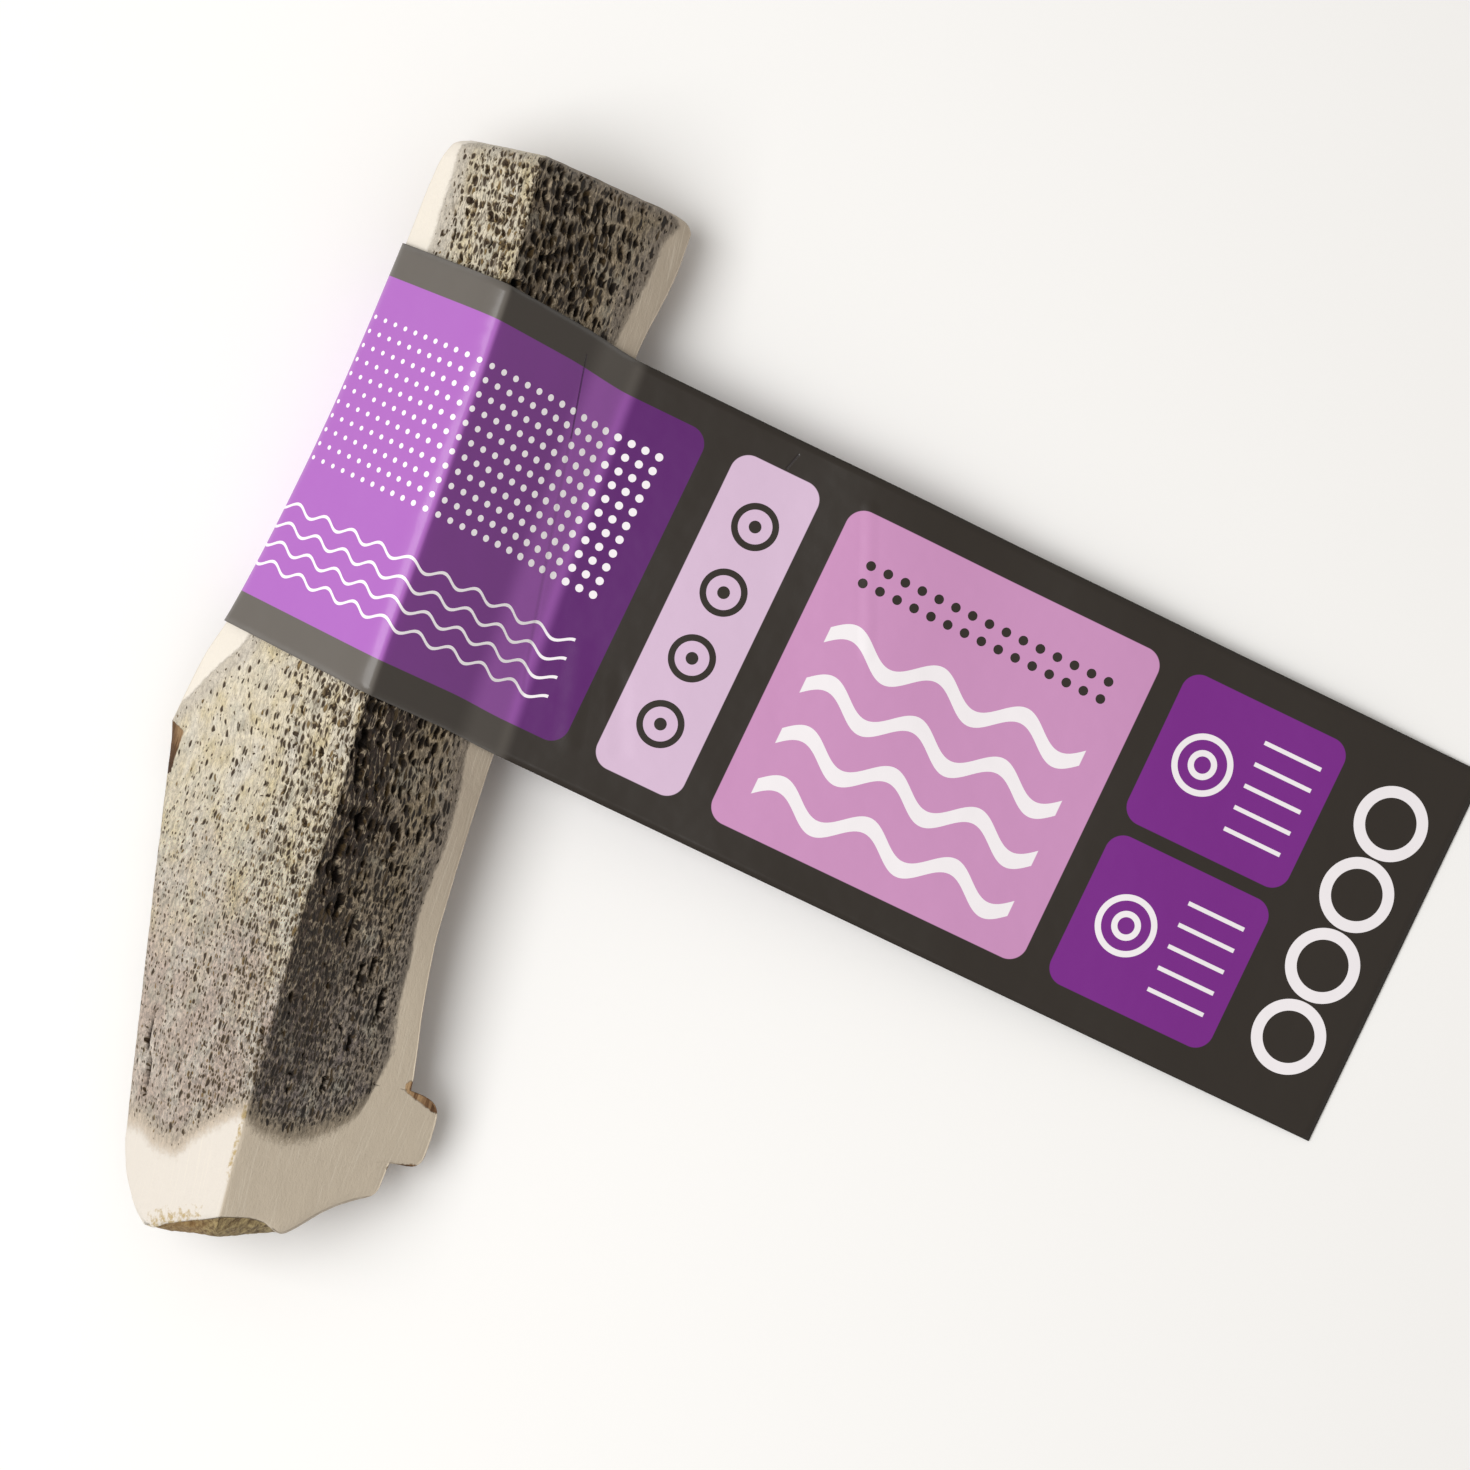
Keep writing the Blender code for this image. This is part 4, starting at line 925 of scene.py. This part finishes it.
# Rings: ink, middle of the first, step to the next, how many, radius, line width
ringRows = (
    ("charcoal", (24.0, 82.0), 9.1, 4, 2.6, 0.84),
    ("charcoal", (24.0, 82.0), 9.1, 4, 0.0, 1.6),
    ("white", (88.2, 84.4), 22.5, 2, 3.6, 0.8),
    ("white", (88.2, 84.4), 22.5, 2, 1.5, 0.8),
    ("white", (113.4, 80.6), 10.0, 4, 4.1, 1.5),
)

# Creases of the film: start, end, half width, height, and how much painted shade darkens them
creases = (
    ((-5.5, 118.7), (-2.4, 108.9), 0.22, -0.2, 0.6),
    ((-2.4, 108.9), (7.0, 77.7), 0.5, -0.08, 0.1),
    ((36.0, 117.6), (43.6, 101.0), 1.4, 0.16, 0.0),
    ((25.0, 119.8), (24.4, 117.6), 0.22, -0.12, 0.5),
    ((11.0, 86.0), (14.4, 75.4), 2.2, 0.16, 0.0),
    ((17.2, 84.4), (21.0, 77.0), 2.0, -0.14, 0.0),
)


def filmMaterial():
    material = bpy.data.materials.new("printed film")
    material.use_nodes = True
    tree = material.node_tree
    shader = tree.nodes["Principled BSDF"]
    at = add(tree, "ShaderNodeAttribute", attribute_name="printAt").outputs["Vector"]
    u, v, _ = add(tree, "ShaderNodeSeparateXYZ", {0: at}).outputs
    overBoneAndSheen = add(tree, "ShaderNodeAttribute", attribute_name="overBoneAndSheen").outputs["Fac"]
    # inks over the bone are lighter: the pale bone under one layer of film, and painted sheen left of the ridge
    inks = {}
    for title in ("charcoal", "purple", "violet", "lilac", "pale", "white"):
        flag, bone = (linear(c) for c in filmLooks[title])
        inks[title] = add(tree, "ShaderNodeMix", {"Factor": overBoneAndSheen, "A": flag, "B": bone}, data_type="RGBA")

    def box(place, halfSize, radius):  # 1 inside a rectangle with round corners, from places measured at its middle
        folded = add(tree, "ShaderNodeVectorMath", {0: place}, operation="ABSOLUTE")
        inset = (halfSize[0] - radius, halfSize[1] - radius, 0.0)
        beyond = add(tree, "ShaderNodeVectorMath", {0: folded, 1: inset}, operation="SUBTRACT")
        outside = add(tree, "ShaderNodeVectorMath", {0: beyond, 1: (0.0, 0.0, 0.0)}, operation="MAXIMUM")
        away = add(tree, "ShaderNodeVectorMath", {0: outside}, operation="LENGTH")
        return add(tree, "ShaderNodeMapRange", {"Value": away, "From Min": radius + 0.04, "From Max": radius - 0.04})

    layers = []
    for title, middle, halfSize, radius in panels:
        moved = add(tree, "ShaderNodeVectorMath", {0: at, 1: (*middle, 0.0)}, operation="SUBTRACT")
        layers.append((box(moved, halfSize, radius), inks[title]))
    for title, middle, (lengthwise, crosswise), pitch, (smallest, largest) in dotFields:
        half = (0.5 * lengthwise * pitch, 0.5 * crosswise * pitch)
        corner = (middle[0] - half[0], middle[1] - half[1], 0.0)
        fromCorner = add(tree, "ShaderNodeVectorMath", {0: at, 1: corner}, operation="SUBTRACT")
        cells = add(tree, "ShaderNodeVectorMath", {0: fromCorner, 1: (pitch, pitch, 1.0)}, operation="DIVIDE")
        inCell = add(tree, "ShaderNodeVectorMath", {0: cells}, operation="FRACTION")
        away = add(tree, "ShaderNodeVectorMath", {0: inCell, 1: (0.5, 0.5, 0.0)}, operation="DISTANCE")
        size = add(tree, "ShaderNodeMapRange", {
            "Value": u, "From Min": corner[0], "From Max": middle[0] + half[0], "To Min": smallest / pitch,
            "To Max": largest / pitch})
        dots = add(tree, "ShaderNodeMath", {0: away, 1: size}, operation="LESS_THAN")
        moved = add(tree, "ShaderNodeVectorMath", {0: at, 1: (*middle, 0.0)}, operation="SUBTRACT")
        there = add(tree, "ShaderNodeMath", {0: dots, 1: box(moved, half, 0.05)}, operation="MULTIPLY")
        layers.append((there, inks[title]))
    for title, middle, lines, pitch, swing, length, waves, width in waveFields:
        phase = add(tree, "ShaderNodeMath", {0: u, 1: 2 * math.pi / length, 2: -2 * math.pi * middle[0] / length},
                    operation="MULTIPLY_ADD")
        swung = add(tree, "ShaderNodeMath", {0: phase}, operation="SINE")
        level = add(tree, "ShaderNodeMath", {0: swung, 1: swing, 2: v}, operation="MULTIPLY_ADD")
        straight = add(tree, "ShaderNodeCombineXYZ", {0: u, 1: level})
        moved = add(tree, "ShaderNodeVectorMath", {0: straight, 1: (*middle, 0.0)}, operation="SUBTRACT")
        halfSize = (0.5 * length * waves, 0.5 * pitch * lines)
        fromLine = add(tree, "ShaderNodeMath", {0: level, 1: halfSize[1] - 0.5 * pitch - middle[1]})
        fold = add(tree, "ShaderNodeMath", {0: fromLine, 1: 0.5 * pitch}, operation="PINGPONG")
        drawn = add(tree, "ShaderNodeMath", {0: fold, 1: 0.5 * width}, operation="LESS_THAN")
        there = add(tree, "ShaderNodeMath", {0: drawn, 1: box(moved, halfSize, 0.05)}, operation="MULTIPLY")
        layers.append((there, inks[title]))
    for title, (ringU, ringV), step, count, radius, width in ringRows:
        for number in range(count):
            away = add(tree, "ShaderNodeVectorMath", {0: at, 1: (ringU, ringV + step * number, 0.0)},
                       operation="DISTANCE")
            layers.append((add(tree, "ShaderNodeMath", {0: away, 1: radius, 2: 0.5 * width}, operation="COMPARE"),
                           inks[title]))

    # soft unevenness and creases, where sharp ones get painted shade that darkens the ink
    soft = add(tree, "ShaderNodeTexNoise", {"Vector": at, "Scale": 0.16, "Detail": 2.0})
    fine = add(tree, "ShaderNodeTexNoise", {"Vector": at, "Scale": 1.4, "Detail": 3.0})
    height = add(tree, "ShaderNodeMath", {0: soft, 1: 0.35}, operation="MULTIPLY")
    height = add(tree, "ShaderNodeMath", {0: fine, 1: 0.012, 2: height}, operation="MULTIPLY_ADD")
    for start, end, halfWidth, lift, dark in creases:
        run = (end[0] - start[0], end[1] - start[1], 0.0)
        length = math.hypot(*run)
        fromStart = add(tree, "ShaderNodeVectorMath", {0: at, 1: (*start, 0.0)}, operation="SUBTRACT")
        down = add(tree, "ShaderNodeVectorMath", {0: fromStart, 1: tuple(r / length**2 for r in run)},
                   operation="DOT_PRODUCT")
        held = add(tree, "ShaderNodeClamp", {"Value": down})
        nearestAt = add(tree, "ShaderNodeVectorMath", {0: run, "Scale": held}, operation="SCALE")
        away = add(tree, "ShaderNodeVectorMath", {0: fromStart, 1: nearestAt}, operation="DISTANCE")
        crease = add(tree, "ShaderNodeMapRange", {"Value": away, "From Min": halfWidth, "From Max": 0.0},
                     interpolation_type="SMOOTHSTEP")
        height = add(tree, "ShaderNodeMath", {0: crease, 1: lift, 2: height}, operation="MULTIPLY_ADD")
        # painted shade in the sharp creases
        if dark:
            layers.append((add(tree, "ShaderNodeMath", {0: crease, 1: dark}, operation="MULTIPLY"),
                           linear("#1d1420")))
    ground = inks["charcoal"]
    for mask, colour in layers:
        ground = add(tree, "ShaderNodeMix", {"Factor": mask, "A": ground, "B": colour}, data_type="RGBA")
    tree.links.new(ground.outputs[2], shader.inputs["Base Color"])
    bump = add(tree, "ShaderNodeBump", {"Height": height, "Distance": mm, "Strength": 0.5})
    tree.links.new(bump.outputs[0], shader.inputs["Normal"])
    tree.links.new(bump.outputs[0], shader.inputs["Coat Normal"])
    shader.inputs["Roughness"].default_value = filmLooks["roughness"]
    shader.inputs["Specular IOR Level"].default_value = filmLooks["specular"]
    shader.inputs["IOR"].default_value = filmLooks["ior"]
    shader.inputs["Coat Weight"].default_value = filmLooks["coat"]
    shader.inputs["Coat Roughness"].default_value = filmLooks["coatRoughness"]
    return material


labelPiece = buildLabel()
labelPiece.data.materials.append(filmMaterial())
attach(labelPiece, "root")
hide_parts("label")
print("film strip:", len(labelPiece.data.polygons), "faces")

# Studio: a pale floor, one wide soft light from the left of the picture, and soft light all round
studio = dict(
    floor="#fcfcfb",
    floorReach=1.5,
    surround="#fffaf4",
    surroundStrength=0.45,
    keyPower=3.75,
    keySize=0.55,
    keyAway=0.7,
    keyHeight=math.radians(59),
    cameraAt=(-0.0120, 0.010548, 0.43012),
    cameraTurn=math.radians(18.4),
    cameraLens=82.68,  # for a square frame on a 36 mm sensor
)


def buildStudio():
    rim = studio["floorReach"]
    data = bpy.data.meshes.new("floor")
    data.from_pydata([(-rim, -rim, 0), (rim, -rim, 0), (rim, rim, 0), (-rim, rim, 0)], [], [(0, 1, 2, 3)])
    floor = bpy.data.objects.new("floor", data)
    bpy.context.scene.collection.objects.link(floor)
    paper = bpy.data.materials.new("white paper")
    paper.use_nodes = True
    shader = paper.node_tree.nodes["Principled BSDF"]
    shader.inputs["Base Color"].default_value = linear(studio["floor"])
    shader.inputs["Roughness"].default_value = 0.9
    data.materials.append(paper)

    surround = bpy.data.worlds.new("soft surround")
    surround.use_nodes = True
    background = surround.node_tree.nodes["Background"]
    background.inputs["Color"].default_value = linear(studio["surround"])
    background.inputs["Strength"].default_value = studio["surroundStrength"]
    bpy.context.scene.world = surround

    light = bpy.data.lights.new("key", "AREA")
    light.shape = "SQUARE"
    light.size = studio["keySize"]
    light.energy = studio["keyPower"]
    key = bpy.data.objects.new("key", light)
    turn, lift = studio["cameraTurn"], studio["keyHeight"]
    towards = Vector((-math.cos(turn) * math.cos(lift), -math.sin(turn) * math.cos(lift), math.sin(lift)))
    key.location = towards * studio["keyAway"]
    key.rotation_euler = towards.to_track_quat("Z", "Y").to_euler()
    key.visible_camera = False
    bpy.context.scene.collection.objects.link(key)

    lens = bpy.data.cameras.new("camera")
    lens.sensor_width = 36
    lens.sensor_fit = "HORIZONTAL"
    lens.lens = studio["cameraLens"]
    lens.clip_start = 0.01
    camera = bpy.data.objects.new("camera", lens)
    camera.location = studio["cameraAt"]
    camera.rotation_euler = (0, 0, turn)
    bpy.context.scene.collection.objects.link(camera)
    bpy.context.scene.camera = camera
    bpy.context.scene.view_settings.view_transform = "Standard"


buildStudio()
print("studio ready")
